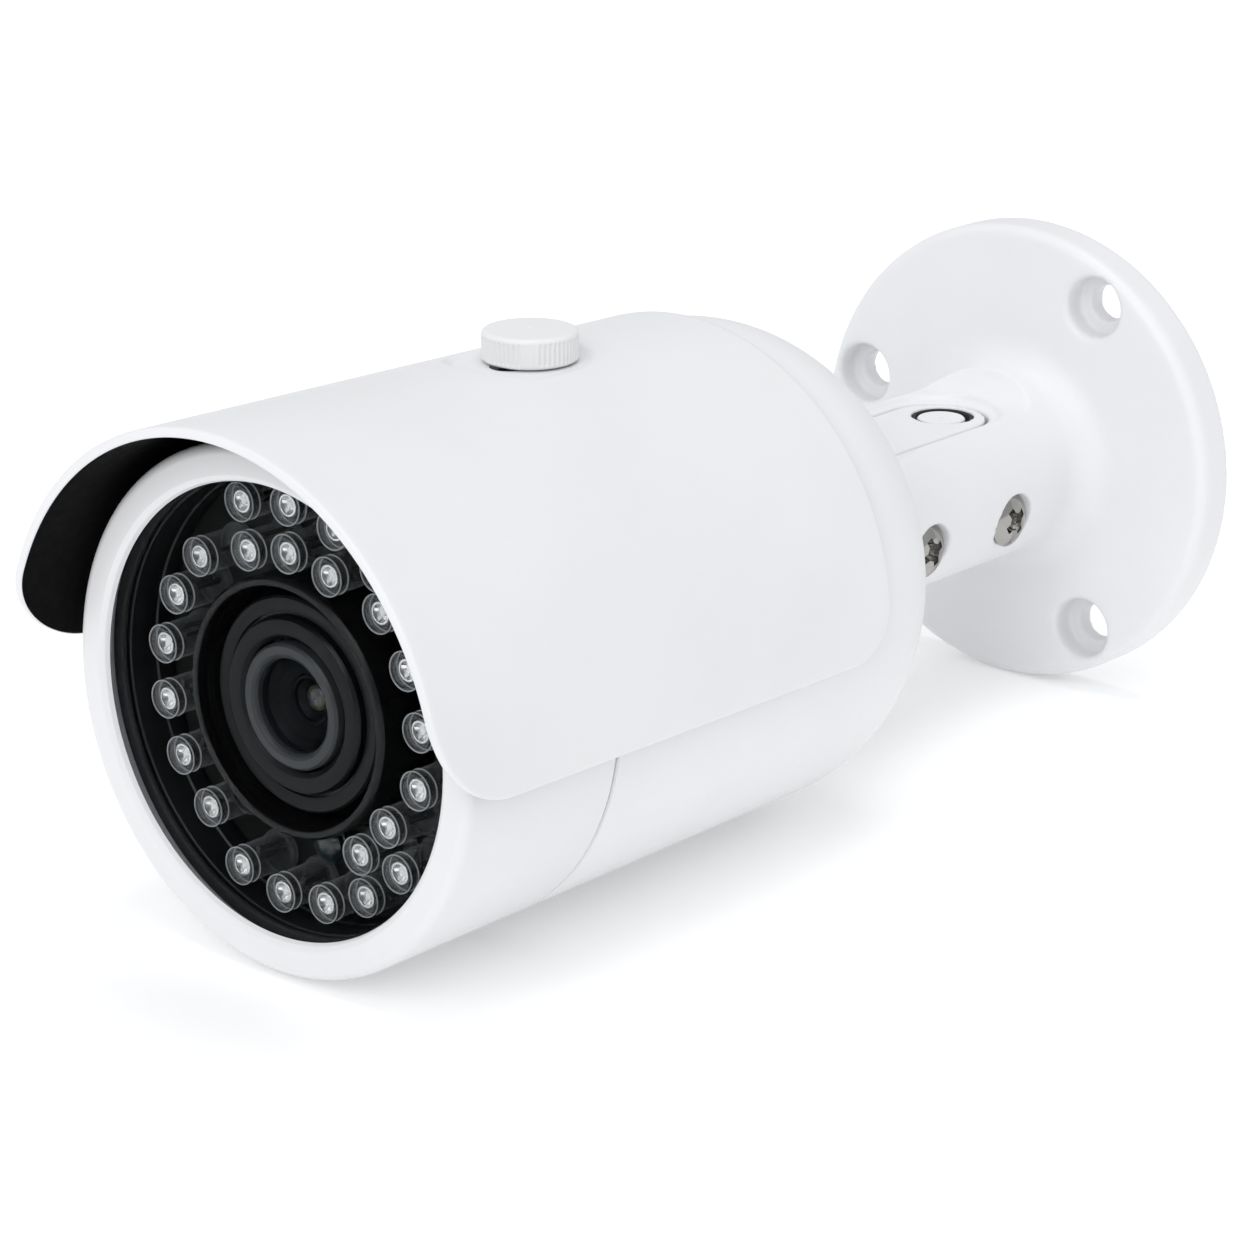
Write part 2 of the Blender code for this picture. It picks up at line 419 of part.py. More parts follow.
def shield_ends(phi):
    """Front and rear limit of the shield at an angle from the top, with rounded corners."""
    s = math.radians(SHIELD_ANGLE - abs(phi)) * 0.5 * (SHIELD_R_FRONT + SHIELD_R_REAR)
    def corner(r):
        return 0.0 if s >= r else r - math.sqrt(max(r * r - (r - s) ** 2, 0.0))
    return SHIELD_FRONT_Y + corner(SHIELD_CORNER_FRONT), SHIELD_REAR_Y - corner(SHIELD_CORNER_REAR)


edge = [SHIELD_ANGLE * (1 - v) for v in (0.0, 0.006, 0.02, 0.045, 0.075, 0.11, 0.155, 0.21)]
middle = [edge[-1] - (edge[-1] / 12.0) * k for k in range(1, 13)]
half_angles = edge + middle
angles = sorted(set([round(-a, 5) for a in half_angles] + [round(a, 5) for a in half_angles]))
me = bpy.data.meshes.new("sunshield")
bm = bmesh.new()
ROWS = 4
grid = []
for phi in angles:
    y0, y1 = shield_ends(phi)
    col = []
    for k in range(ROWS + 1):
        y = y0 + (y1 - y0) * k / ROWS
        r = shield_radius(y)
        at = math.radians(leaned(phi, y))
        col.append(bm.verts.new((r * math.sin(at) * MM, y * MM, r * math.cos(at) * MM)))
    grid.append(col)
for a, b in zip(grid, grid[1:]):
    for k in range(ROWS):
        bm.faces.new((a[k], b[k], b[k + 1], a[k + 1]))
bmesh.ops.recalc_face_normals(bm, faces=bm.faces)
if sum(f.normal.dot(f.calc_center_median() * Vector((1, 0, 1))) for f in bm.faces) < 0:
    bmesh.ops.reverse_faces(bm, faces=bm.faces)
bm.to_mesh(me)
bm.free()
shield = put(bpy.data.objects.new("sunshield", me), WHITE)
so = shield.modifiers.new("wall", "SOLIDIFY")
so.thickness = SHIELD_WALL * MM
so.offset = -1.0
so.use_even_offset = True
settle(shield)
# pressed pad under the thumbscrew, then the recess above it and the slot through it
pad = slab("pressed_pad", obround(0, KNOB_Y - SHIELD_TRAVEL, KNOB_Y, 6.9, 14), 0.45, None, "XY", (0, 0, 33.75), CUTTERS)
boolean(shield, pad, "UNION")
boolean(shield, slab("recess", obround(0, KNOB_Y - SHIELD_TRAVEL, KNOB_Y, RECESS_R, 14), 5.0, None, "XY", (0, 0, RECESS_Z + 5.0), CUTTERS))
boolean(shield, slab("stud_slot", obround(0, KNOB_Y - SHIELD_TRAVEL, KNOB_Y, SLOT_R, 8), 8.0, None, "XY", (0, 0, RECESS_Z), CUTTERS))

washer_z = RECESS_Z + 0.12
lathe("thumbscrew_washer", [(2.3, washer_z), (WASHER_R, washer_z), (WASHER_R, washer_z + WASHER_T), (2.3, washer_z + WASHER_T)], STAINLESS, "Z", (0, KNOB_Y, 0), SEG_SMALL)
kz = washer_z + WASHER_T + 0.12
rim_z = RECESS_Z + 0.22
knob = lathe("thumbscrew", [(0, KNOB_TOP), (KNOB_R - 0.9, KNOB_TOP - 0.12), (KNOB_R, KNOB_TOP - 0.75), (KNOB_R, rim_z + 0.5), (KNOB_R - 0.5, rim_z), (WASHER_R + 0.5, rim_z), (WASHER_R + 0.5, kz), (1.9, kz), (1.9, 27.6), (1.4, 27.0), (0, 27.0)], WHITE_PLASTIC, "Z", (0, KNOB_Y, 0), SEG_MID)

# ------------------------------------------------------------------ moving pieces hang under their joint axes
def under(names, empty):
    bpy.context.view_layer.update()
    for n in names:
        o = bpy.data.objects[n]
        w = o.matrix_world.copy()
        o.parent = empty
        o.matrix_parent_inverse = empty.matrix_world.inverted()
        o.matrix_world = w


under(["tilt_arm", "arm_port_plug", "pivot_bush", "lock_nut", "thrust_washer"], arm_empty)
fixed_inside = ["main_housing", "rear_o_ring", "front_barrel", "barrel_o_ring", "front_glass", "glass_gasket",
                "board_spacer", "ir_led_board", "light_sensor", "lens_hood", "lens_barrel", "lens_front_element",
                "lens_retaining_ring", "lens_rear_element", "lens_holder", "ir_cut_frame", "ir_cut_filter",
                "sensor_board", "image_sensor", "carrier", "main_board", "processor", "thermal_pad", "heat_sink",
                "standoff_1", "standoff_2", "standoff_3", "standoff_4", "sunshield", "thumbscrew_washer", "thumbscrew"]
under(fixed_inside, roll_empty)

for o in PARTS.objects:
    if o.type == "MESH":
        o.data.shade_smooth()
        if hasattr(o.data, "set_sharp_from_angle"):
            o.data.set_sharp_from_angle(angle=math.radians(35))
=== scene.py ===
"""Looks of the bullet security camera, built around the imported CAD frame.

All shapes here are written in millimetres and scaled to metres when their meshes are made.
Frame: wall on the +Y side of Y = 0, lens looking along -Y, +Z up.
"""
import math

import bmesh
import bpy
from mathutils import Matrix, Vector


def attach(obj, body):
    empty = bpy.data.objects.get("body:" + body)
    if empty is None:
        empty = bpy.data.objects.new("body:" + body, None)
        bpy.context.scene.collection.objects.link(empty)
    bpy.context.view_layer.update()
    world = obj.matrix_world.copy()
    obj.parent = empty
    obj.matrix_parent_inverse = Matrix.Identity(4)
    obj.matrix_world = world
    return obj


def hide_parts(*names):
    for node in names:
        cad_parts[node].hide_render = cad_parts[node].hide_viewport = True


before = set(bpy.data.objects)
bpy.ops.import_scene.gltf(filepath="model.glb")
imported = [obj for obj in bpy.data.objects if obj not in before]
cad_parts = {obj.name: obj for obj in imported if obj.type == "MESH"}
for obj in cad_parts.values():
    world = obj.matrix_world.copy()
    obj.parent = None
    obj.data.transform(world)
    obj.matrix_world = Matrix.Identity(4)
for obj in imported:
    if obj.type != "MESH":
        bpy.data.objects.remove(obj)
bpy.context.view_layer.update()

MM = 0.001
scene = bpy.context.scene
COL = scene.collection


# =====================================================================  materials
class Nodes:
    """Short helper to write node trees."""

    def __init__(self, name):
        self.m = bpy.data.materials.new(name)
        self.m.use_nodes = True
        self.t = self.m.node_tree
        self.t.nodes.clear()
        self.out = self.t.nodes.new("ShaderNodeOutputMaterial")
        self.co = self.t.nodes.new("ShaderNodeTexCoord")

    def n(self, kind, **values):
        node = self.t.nodes.new(kind)
        for k, v in values.items():
            setattr(node, k, v)
        return node

    def link(self, a, b):
        self.t.links.new(a, b)

    def noise(self, scale, detail=2.0, rough=0.5, stretch=None):
        x = self.n("ShaderNodeTexNoise")
        x.inputs["Scale"].default_value = scale
        x.inputs["Detail"].default_value = detail
        x.inputs["Roughness"].default_value = rough
        src = self.co.outputs["Object"]
        if stretch:
            mp = self.n("ShaderNodeMapping")
            mp.inputs["Scale"].default_value = stretch
            self.link(src, mp.inputs["Vector"])
            src = mp.outputs["Vector"]
        self.link(src, x.inputs["Vector"])
        return x.outputs["Fac"]

    def ramp(self, fac, stops):
        r = self.n("ShaderNodeValToRGB")
        e = r.color_ramp.elements
        e[0].position, e[0].color = stops[0][0], (*stops[0][1], 1)
        e[1].position, e[1].color = stops[1][0], (*stops[1][1], 1)
        for p, c in stops[2:]:
            k = e.new(p)
            k.color = (*c, 1)
        self.link(fac, r.inputs["Fac"])
        return r.outputs["Color"]

    def span(self, fac, a, b, lo=0.3, hi=0.7):
        r = self.n("ShaderNodeMapRange")
        r.inputs["From Min"].default_value, r.inputs["From Max"].default_value = lo, hi
        r.inputs["To Min"].default_value, r.inputs["To Max"].default_value = a, b
        self.link(fac, r.inputs["Value"])
        return r.outputs["Result"]

    def bump(self, height, distance, strength=1.0, under=None):
        b = self.n("ShaderNodeBump")
        b.inputs["Distance"].default_value = distance
        b.inputs["Strength"].default_value = strength
        self.link(height, b.inputs["Height"])
        if under is not None:
            self.link(under, b.inputs["Normal"])
        return b.outputs["Normal"]

    def principled(self, colour=None, rough=None, normal=None, **const):
        p = self.n("ShaderNodeBsdfPrincipled")
        if colour is not None:
            self.link(colour, p.inputs["Base Color"])
        if rough is not None:
            self.link(rough, p.inputs["Roughness"])
        if normal is not None:
            self.link(normal, p.inputs["Normal"])
        for k, v in const.items():
            p.inputs[k.replace("_", " ")].default_value = v
        return p

    def done(self, shader):
        self.link(shader.outputs[0], self.out.inputs["Surface"])
        return self.m


def powder_coat(name, dark, light, rough=(0.38, 0.5), grain=0.000012, spec=0.4):
    """Satin powder coat: fine orange peel, faint mottling in tone and gloss."""
    k = Nodes(name)
    fine, mid, wide = k.noise(2600, 3, 0.6), k.noise(620, 3, 0.55), k.noise(38, 3, 0.6)
    colour = k.ramp(wide, [(0.3, dark), (0.7, light)])
    normal = k.bump(mid, grain * 2.2, 0.6, k.bump(fine, grain, 0.8))
    p = k.principled(colour, k.span(mid, *rough), normal)
    p.inputs["Specular IOR Level"].default_value = spec
    return k.done(p)


def moulded(name, dark, light, rough=(0.4, 0.55), grain=0.000008, scale=1500, spec=0.4):
    k = Nodes(name)
    fine, wide = k.noise(scale, 4, 0.6), k.noise(60, 2, 0.5)
    p = k.principled(k.ramp(wide, [(0.3, dark), (0.7, light)]), k.span(fine, *rough), k.bump(fine, grain, 0.7))
    p.inputs["Specular IOR Level"].default_value = spec
    return k.done(p)


def metal(name, dark, light, rough=(0.2, 0.34), grain=0.000004, stretch=(1, 1, 1), scale=900):
    k = Nodes(name)
    lines, wide = k.noise(scale, 4, 0.65, stretch), k.noise(120, 3, 0.6)
    p = k.principled(k.ramp(wide, [(0.3, dark), (0.7, light)]), k.span(lines, *rough), k.bump(lines, grain, 0.6))
    p.inputs["Metallic"].default_value = 1.0
    return k.done(p)


def clear_window(name, ior, tint, gloss_rough=0.01, haze=None):
    """Thin coated glass: what is behind it shows straight through, and a little is mirrored."""
    k = Nodes(name)
    f = k.n("ShaderNodeFresnel")
    f.inputs["IOR"].default_value = ior
    smear = k.noise(90, 4, 0.6)
    t = k.n("ShaderNodeBsdfTransparent")
    t.inputs["Color"].default_value = (*tint, 1)
    p = k.principled(k.ramp(smear, [(0.3, (0.9, 0.93, 0.95)), (0.75, (1.0, 1.0, 1.0))]), k.span(smear, gloss_rough, gloss_rough + 0.02))
    p.inputs["Metallic"].default_value = 1.0
    mix = k.n("ShaderNodeMixShader")
    k.link(k.span(f.outputs["Fac"], 0.0, 0.9, 0.012, 0.7), mix.inputs["Fac"])
    k.link(t.outputs[0], mix.inputs[1])
    k.link(p.outputs[0], mix.inputs[2])
    return k.done(mix)


def epoxy(name, tint):
    """Clear cast epoxy of the LEDs, real refraction."""
    k = Nodes(name)
    fine = k.noise(1400, 2, 0.5)
    p = k.principled(k.ramp(fine, [(0.3, tint), (0.7, tuple(min(1.0, c + 0.02) for c in tint))]), k.span(fine, 0.015, 0.045), k.bump(fine, 0.000003, 0.5))
    p.inputs["Transmission Weight"].default_value = 1.0
    p.inputs["IOR"].default_value = 1.5
    return k.done(p)


def led_clear(name, tint):
    """Clear LED epoxy: see-through face on, bright where the surface turns away; part of that bright rim is real gloss
    and part is a light grey base colour, a painted rim highlight.
    """
    k = Nodes(name)
    lw = k.n("ShaderNodeLayerWeight")
    lw.inputs["Blend"].default_value = 0.5
    fine = k.noise(700, 3, 0.6)
    edge = k.n("ShaderNodeMath", operation="POWER")
    k.link(lw.outputs["Facing"], edge.inputs[0])
    edge.inputs[1].default_value = 3.2
    t = k.n("ShaderNodeBsdfTransparent")
    t.inputs["Color"].default_value = (*tint, 1)
    # The light grey base colour that shows at the rim is partly a painted rim highlight.
    p = k.principled(k.ramp(fine, [(0.3, (0.62, 0.63, 0.64)), (0.7, (0.78, 0.79, 0.80))]), k.span(fine, 0.10, 0.2))
    p.inputs["Metallic"].default_value = 0.5
    mix = k.n("ShaderNodeMixShader")
    k.link(k.span(edge.outputs[0], 0.045, 0.95, 0.0, 0.8), mix.inputs["Fac"])
    k.link(t.outputs[0], mix.inputs[1])
    k.link(p.outputs[0], mix.inputs[2])
    return k.done(mix)


def lens_glint(name):
    """Small deep lens surface with green, amber and violet patches in its base colour: painted coloured reflection
    glints.
    """
    k = Nodes(name)
    patches = k.noise(900, 2, 0.6)
    p = k.principled(k.ramp(patches, [(0.34, (0.04, 0.10, 0.045)), (0.48, (0.13, 0.095, 0.045)), (0.60, (0.06, 0.06, 0.10)), (0.72, (0.03, 0.03, 0.04))]), k.span(patches, 0.05, 0.15))
    p.inputs["Specular IOR Level"].default_value = 0.8
    p.inputs["Coat Weight"].default_value = 0.8
    p.inputs["Coat Roughness"].default_value = 0.03
    return k.done(p)


def coated_lens(name, centre, rim, rough=0.015, coat=0.6):
    """Dark lens surface with a faint two tone sheen painted into its base colour: the rim tone takes over where the
    surface turns away, a painted reflection that follows its curvature.
    """
    k = Nodes(name)
    lw = k.n("ShaderNodeLayerWeight")
    lw.inputs["Blend"].default_value = 0.35
    swirl = k.noise(260, 2, 0.5)
    m = k.n("ShaderNodeMath", operation="ADD")
    k.link(lw.outputs["Facing"], m.inputs[0])
    k.link(k.span(swirl, -0.06, 0.06), m.inputs[1])
    # centre is the lens's own dark tone; rim is a painted sheen colour at grazing angles.
    p = k.principled(k.ramp(m.outputs[0], [(0.1, centre), (0.75, rim)]), k.span(swirl, rough, rough + 0.02))
    p.inputs["Metallic"].default_value = 0.0
    p.inputs["Specular IOR Level"].default_value = 0.5
    p.inputs["Coat Weight"].default_value = coat
    p.inputs["Coat Roughness"].default_value = 0.01
    return k.done(p)


WHITE = powder_coat("white_powder_coat", (0.775, 0.778, 0.792), (0.802, 0.805, 0.818))
WHITE_CAST = powder_coat("white_cast_coat", (0.775, 0.778, 0.792), (0.802, 0.805, 0.818), (0.36, 0.46), 0.000010)
WHITE_PLASTIC = moulded("white_moulded_plastic", (0.775, 0.780, 0.785), (0.805, 0.810, 0.815), (0.38, 0.5))
# Near black for the underside of the white shield: painted shade.
UNDERSIDE_PAINTED_SHADE = powder_coat("shield_underside_painted_shade", (0.0022, 0.0022, 0.0023), (0.0036, 0.0036, 0.0037), (0.65, 0.8), 0.000010, 0.08)
STEEL = metal("stainless_steel", (0.30, 0.292, 0.280), (0.42, 0.41, 0.395), (0.10, 0.2), 0.000003, (1, 1, 1), 1300)
TIN = metal("tinned_lead_frame", (0.70, 0.69, 0.68), (0.88, 0.87, 0.86), (0.10, 0.2))
# Mid grey for the thin rings on the LED edges: painted highlight lines.
RIM = moulded("led_edge_painted_highlight", (0.26, 0.265, 0.27), (0.34, 0.345, 0.35), (0.55, 0.65), 0.0000005, 900, 0.2)
LEAD = metal("dull_lead_wire", (0.10, 0.10, 0.10), (0.16, 0.16, 0.155), (0.45, 0.6))
BRASS = metal("nickelled_brass", (0.55, 0.5, 0.4), (0.68, 0.63, 0.5), (0.22, 0.38))
CAST_ALU = metal("cast_aluminium", (0.52, 0.53, 0.54), (0.66, 0.67, 0.68), (0.34, 0.5), 0.00001)
RUBBER = moulded("black_rubber", (0.018, 0.018, 0.018), (0.03, 0.03, 0.031), (0.65, 0.85), 0.000012, 1100, 0.3)
BLACK_PLASTIC = moulded("black_plastic", (0.008, 0.008, 0.009), (0.014, 0.014, 0.015), (0.3, 0.42), 0.000003, 900, 0.3)
BLACK_RING = moulded("black_anodised_ring", (0.004, 0.004, 0.0045), (0.006, 0.006, 0.0065), (0.2, 0.24), 0.00000005, 60, 0.22)
BLACK_STEP = moulded("black_anodised_step", (0.006, 0.0065, 0.007), (0.009, 0.0095, 0.010), (0.32, 0.38), 0.00000005, 60, 0.14)
GREY_RING = moulded("grey_anodised_ring", (0.030, 0.031, 0.033), (0.038, 0.040, 0.043), (0.28, 0.34), 0.00000005, 60, 0.3)
WINDOW = clear_window("coated_front_window", 1.07, (0.97, 0.98, 0.985))
LENS_OUTER = clear_window("coated_lens_front", 1.07, (0.82, 0.83, 0.85))
# LED bodies: clear face on, with a partly painted highlight on their rims.
EPOXY = led_clear("clear_led_epoxy_painted_rim", (0.90, 0.905, 0.91))
LENS_INNER = coated_lens("inner_lens_painted_sheen", (0.012, 0.012, 0.018), (0.06, 0.045, 0.05))
GLINT = lens_glint("deep_element_painted_glint")
LENS_REAR = coated_lens("rear_lens_painted_sheen", (0.03, 0.05, 0.04), (0.10, 0.06, 0.10))
SENSOR_LENS = coated_lens("dark_sensor_window_painted_sheen", (0.010, 0.016, 0.017), (0.03, 0.045, 0.046), 0.08, 0.2)
DIE = moulded("pale_led_die", (0.85, 0.82, 0.80), (0.95, 0.92, 0.9), (0.25, 0.4), 0.000004, 2500, 0.6)
MASK = moulded("black_solder_mask", (0.014, 0.0142, 0.0138), (0.020, 0.0205, 0.020), (0.3, 0.45), 0.000006, 700, 0.12)


def circuit(name, mask, track):
    """Solder mask over copper tracks: a fine rectilinear pattern."""
    k = Nodes(name)
    br = k.n("ShaderNodeTexBrick")
    br.inputs["Scale"].default_value = 420
    br.inputs["Mortar Size"].default_value = 0.06
    br.inputs["Color1"].default_value = (*mask, 1)
    br.inputs["Color2"].default_value = (*[c * 0.8 for c in mask], 1)
    br.inputs["Mortar"].default_value = (*track, 1)
    mp = k.n("ShaderNodeMapping")
    mp.inputs["Rotation"].default_value = (math.radians(90), 0, 0)
    k.link(k.co.outputs["Object"], mp.inputs["Vector"])
    k.link(mp.outputs["Vector"], br.inputs["Vector"])
    fine = k.noise(900, 3)
    return k.done(k.principled(br.outputs["Color"], k.span(fine, 0.25, 0.42), k.bump(br.outputs["Fac"], -0.00002, 0.6)))


GREEN = circuit("green_circuit_board", (0.012, 0.13, 0.05), (0.03, 0.22, 0.09))
CHIP = moulded("moulded_chip", (0.014, 0.014, 0.015), (0.024, 0.024, 0.025), (0.45, 0.6), 0.000010, 2200)
PAD = moulded("soft_thermal_pad", (0.36, 0.39, 0.41), (0.44, 0.47, 0.49), (0.7, 0.85), 0.00002, 900)
FILTER = clear_window("blue_filter_glass", 1.5, (0.35, 0.62, 0.8))


# =====================================================================  mesh helpers
def link(name, me, mats, sharp=32.0):
    o = bpy.data.objects.new(name, me)
    COL.objects.link(o)
    for m in mats if isinstance(mats, (list, tuple)) else [mats]:
        me.materials.append(m)
    me.shade_smooth()
    me.set_sharp_from_angle(angle=math.radians(sharp))
    return o


def soft(pts, closed, n=4):
    """Rounds each corner of an outline that has a third number, its radius."""
    out = []
    cnt = len(pts)
    for i, p in enumerate(pts):
        r = p[2] if len(p) > 2 else 0.0
        if not r or (not closed and i in (0, cnt - 1)):
            out.append((p[0], p[1]))
            continue
        a, b = pts[i - 1], pts[(i + 1) % cnt]
        v1 = Vector((a[0] - p[0], a[1] - p[1]))
        v2 = Vector((b[0] - p[0], b[1] - p[1]))
        l1, l2 = v1.length, v2.length
        v1.normalize(), v2.normalize()
        ang = v1.angle(v2)
        if ang > math.radians(176):
            out.append((p[0], p[1]))
            continue
        d = min(r / math.tan(ang / 2), 0.49 * l1, 0.49 * l2)
        rr = d * math.tan(ang / 2)
        c = Vector(p[:2]) + (v1 + v2).normalized() * (rr / math.sin(ang / 2))
        s, e = Vector(p[:2]) + v1 * d, Vector(p[:2]) + v2 * d
        a0 = math.atan2(s.y - c.y, s.x - c.x)
        a1 = math.atan2(e.y - c.y, e.x - c.x)
        while a1 - a0 > math.pi:
            a1 -= 2 * math.pi
        while a1 - a0 < -math.pi:
            a1 += 2 * math.pi
        for k in range(n + 1):
            t = a0 + (a1 - a0) * k / n
            out.append((c.x + rr * math.cos(t), c.y + rr * math.sin(t)))
    return out


def place(axis, at, r, t, phi):
    c, s = r * math.cos(phi), r * math.sin(phi)
    x, y, z = at
    if axis == "Y":
        return Vector((x + c, t, z + s)) * MM
    if axis == "Z":
        return Vector((x + c, y + s, t)) * MM
    return Vector((t, y + c, z + s)) * MM


def lathe_bm(bm, prof, axis="Y", at=(0, 0, 0), seg=160, mat=0, radius=None):
    """Adds a turned body. prof is (radius, place along the axis) in mm; it is open where it meets the axis."""
    closed = all(p[0] > 1e-9 for p in prof)
    rows = []
    for r, t in prof:
        if r <= 1e-9:
            rows.append([bm.verts.new(place(axis, at, 0, t, 0))])
        else:
            rows.append([bm.verts.new(place(axis, at, radius(r, t, 2 * math.pi * k / seg) if radius else r, t, 2 * math.pi * k / seg)) for k in range(seg)])
    faces = []
    pairs = list(zip(rows, rows[1:]))
    if closed:
        pairs.append((rows[-1], rows[0]))
    for a, b in pairs:
        for k in range(seg):
            j = (k + 1) % seg
            if len(a) == 1 and len(b) == 1:
                continue
            if len(a) == 1:
                f = bm.faces.new((a[0], b[k], b[j]))
            elif len(b) == 1:
                f = bm.faces.new((a[k], b[0], a[j]))
            else:
                f = bm.faces.new((a[k], b[k], b[j], a[j]))
            f.material_index = mat
            faces.append(f)
    return faces


def finish_bm(bm):
    bmesh.ops.recalc_face_normals(bm, faces=bm.faces)


def lathe(name, prof, mats, axis="Y", at=(0, 0, 0), seg=160, sharp=32.0, radius=None, bands=None):
    """A turned piece. bands(face centre in mm) gives a material index, where several are used."""
    bm = bmesh.new()
    lathe_bm(bm, prof, axis, at, seg, 0, radius)
    finish_bm(bm)
    if bands:
        for f in bm.faces:
            f.material_index = bands(f.calc_center_median() / MM)
    me = bpy.data.meshes.new(name)
    bm.to_mesh(me)
    bm.free()
    return link(name, me, mats, sharp)


def slab(name, outline, lo, hi, plane="XY", mats=()):
    """A flat outline in mm made solid between lo and hi along the third axis."""
    bm = bmesh.new()

    def put(u, v, w):
        p = {"XY": (u, v, w), "YZ": (w, u, v), "XZ": (u, w, v)}[plane]
        return bm.verts.new(Vector(p) * MM)
    a = [put(u, v, lo) for u, v in outline]
    b = [put(u, v, hi) for u, v in outline]
    bm.faces.new(a)
    bm.faces.new(b)
    n = len(a)
    for i in range(n):
        bm.faces.new((a[i], a[(i + 1) % n], b[(i + 1) % n], b[i]))
    finish_bm(bm)
    me = bpy.data.meshes.new(name)
    bm.to_mesh(me)
    bm.free()
    o = bpy.data.objects.new(name, me)
    COL.objects.link(o)
    for m in mats:
        me.materials.append(m)
    return o


def block(name, size, loc, mats=(), rot=None):
    bm = bmesh.new()
    bmesh.ops.create_cube(bm, size=1.0)
    for v in bm.verts:
        p = Vector((v.co.x * size[0], v.co.y * size[1], v.co.z * size[2]))
        if rot is not None:
            p = rot @ p
        v.co = (p + Vector(loc)) * MM
    me = bpy.data.meshes.new(name)
    bm.to_mesh(me)
    bm.free()
    o = bpy.data.objects.new(name, me)
    COL.objects.link(o)
    for m in mats:
        me.materials.append(m)
    return o


def applied(o):
    bpy.context.view_layer.update()
    me = bpy.data.meshes.new_from_object(o.evaluated_get(bpy.context.evaluated_depsgraph_get()))
    o.modifiers.clear()
    o.data = me
    return o


def combine(o, others, op="DIFFERENCE"):
    """Booleans the other meshes into o one by one, and removes them."""
    for c in others:
        m = o.modifiers.new("cut", "BOOLEAN")
        m.operation, m.object, m.solver = op, c, "EXACT"
        applied(o)
        bpy.data.objects.remove(c, do_unlink=True)
    return o


def cast_surface(o, voxel, turns, factor=0.5):
    """Even mesh with the small edge radii of a coated casting."""
    m = o.modifiers.new("even", "REMESH")
    m.mode, m.voxel_size, m.use_smooth_shade = "VOXEL", voxel * MM, True
    s = o.modifiers.new("soften", "SMOOTH")
    s.factor, s.iterations = factor, turns
    applied(o)
    o.data.shade_smooth()
    return o


def arc(cx, cy, r, a0, a1, n):
    return [(cx + r * math.cos(math.radians(a0 + (a1 - a0) * i / n)), cy + r * math.sin(math.radians(a0 + (a1 - a0) * i / n))) for i in range(n + 1)]


def give(o, body, nodes):
    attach(o, body)
    if nodes:
        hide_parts(*nodes)
    return o


# =====================================================================  camera, floor, light
cam_data = bpy.data.cameras.new("view")
cam_data.lens, cam_data.sensor_width = 114.08, 36.0
cam_data.clip_start, cam_data.clip_end = 0.01, 20.0
cam = bpy.data.objects.new("view", cam_data)
COL.objects.link(cam)
cam.location = (0.32266, -0.46281, 0.15916)
cam.rotation_euler = (math.radians(90 - 18.476), 0.0, math.radians(40.950))
scene.camera = cam

FLOOR_Z = -33.6
bm = bmesh.new()
bmesh.ops.create_grid(bm, x_segments=12, y_segments=12, size=9.0)
for v in bm.verts:
    v.co.z = FLOOR_Z * MM - 0.0001
me = bpy.data.meshes.new("floor")
bm.to_mesh(me)
bm.free()
k = Nodes("pale_floor")
fl = k.noise(14, 3)
FLOOR = k.done(k.principled(k.ramp(fl, [(0.3, (0.93, 0.93, 0.93)), (0.7, (0.95, 0.95, 0.95))]), k.span(fl, 0.55, 0.65)))
FLOOR.node_tree.nodes["Principled BSDF"].inputs["Specular IOR Level"].default_value = 0.15
FLOOR.node_tree.nodes["Principled BSDF"].inputs["Emission Color"].default_value = (1.0, 1.0, 1.0, 1.0)
FLOOR.node_tree.nodes["Principled BSDF"].inputs["Emission Strength"].default_value = 0.19
floor = link("floor", me, FLOOR)

world = bpy.data.worlds.new("studio")
scene.world = world
world.use_nodes = True
wt = world.node_tree
wt.nodes.clear()
wo = wt.nodes.new("ShaderNodeOutputWorld")
bg = wt.nodes.new("ShaderNodeBackground")
bg.inputs["Color"].default_value = (0.97, 0.985, 1.0, 1)
bg.inputs["Strength"].default_value = 0.67
wt.links.new(bg.outputs[0], wo.inputs["Surface"])


def sun(name, toward, strength, angle):
    d = bpy.data.lights.new(name, "SUN")
    d.energy, d.angle = strength, math.radians(angle)
    o = bpy.data.objects.new(name, d)
    COL.objects.link(o)
    o.rotation_euler = Vector(toward).to_track_quat("-Z", "Y").to_euler()
    return o


sun("soft_key", (-0.24, 0.85, -0.64), 0.86, 46)
sun("top_softbox", (-0.12, 0.05, -1.0), 0.78, 36)
scene.view_settings.view_transform = "Standard"
scene.view_settings.look = "None"
scene.view_settings.exposure = 0.0

# =====================================================================  bracket casting
FLANGE_R, FLANGE_T = 33.6, 6.6
HOLE_PCR, HOLE_ANGLES = 27.6, (60.0, 164.5, 300.0)
PIV_Y, PIV_Z, CLAMP_Y = -42.0, -4.0, -22.7
NOSE_R = 13.5
STALK_R = 13.6
FLAT_Z, RIM_Z, RIM_HALF = 9.9, 9.2, 8.9
POCKET_HALF, POCKET_END, POCKET_FLOOR = 7.4, 25.2, -9.4
EAR_FACE = 11.9

prof = soft([(0.0, 0.0), (FLANGE_R, 0.0, 0.5), (FLANGE_R, -FLANGE_T, 1.6), (STALK_R, -FLANGE_T, 4.6), (STALK_R, -60.0), (0.0, -60.0)], False, 10)
flange = lathe("wall_bracket_casting", prof, WHITE_CAST, seg=144)
side = [(2.0, -45.0), (PIV_Y, -45.0)] + arc(PIV_Y, PIV_Z, NOSE_R, 270, 90, 32)
side += [(PIV_Y + 1.0, FLAT_Z - 0.2), (PIV_Y + 3.0, FLAT_Z), (-15.4, FLAT_Z), (-13.4, FLAT_Z + 0.9), (-11.6, FLAT_Z + 2.6), (-9.6, FLAT_Z + 6.0), (-8.0, 45.0), (2.0, 45.0)]
combine(flange, [slab("c", side, -45, 45, "YZ")], "INTERSECT")
u_c = PIV_Y + POCKET_END - POCKET_HALF
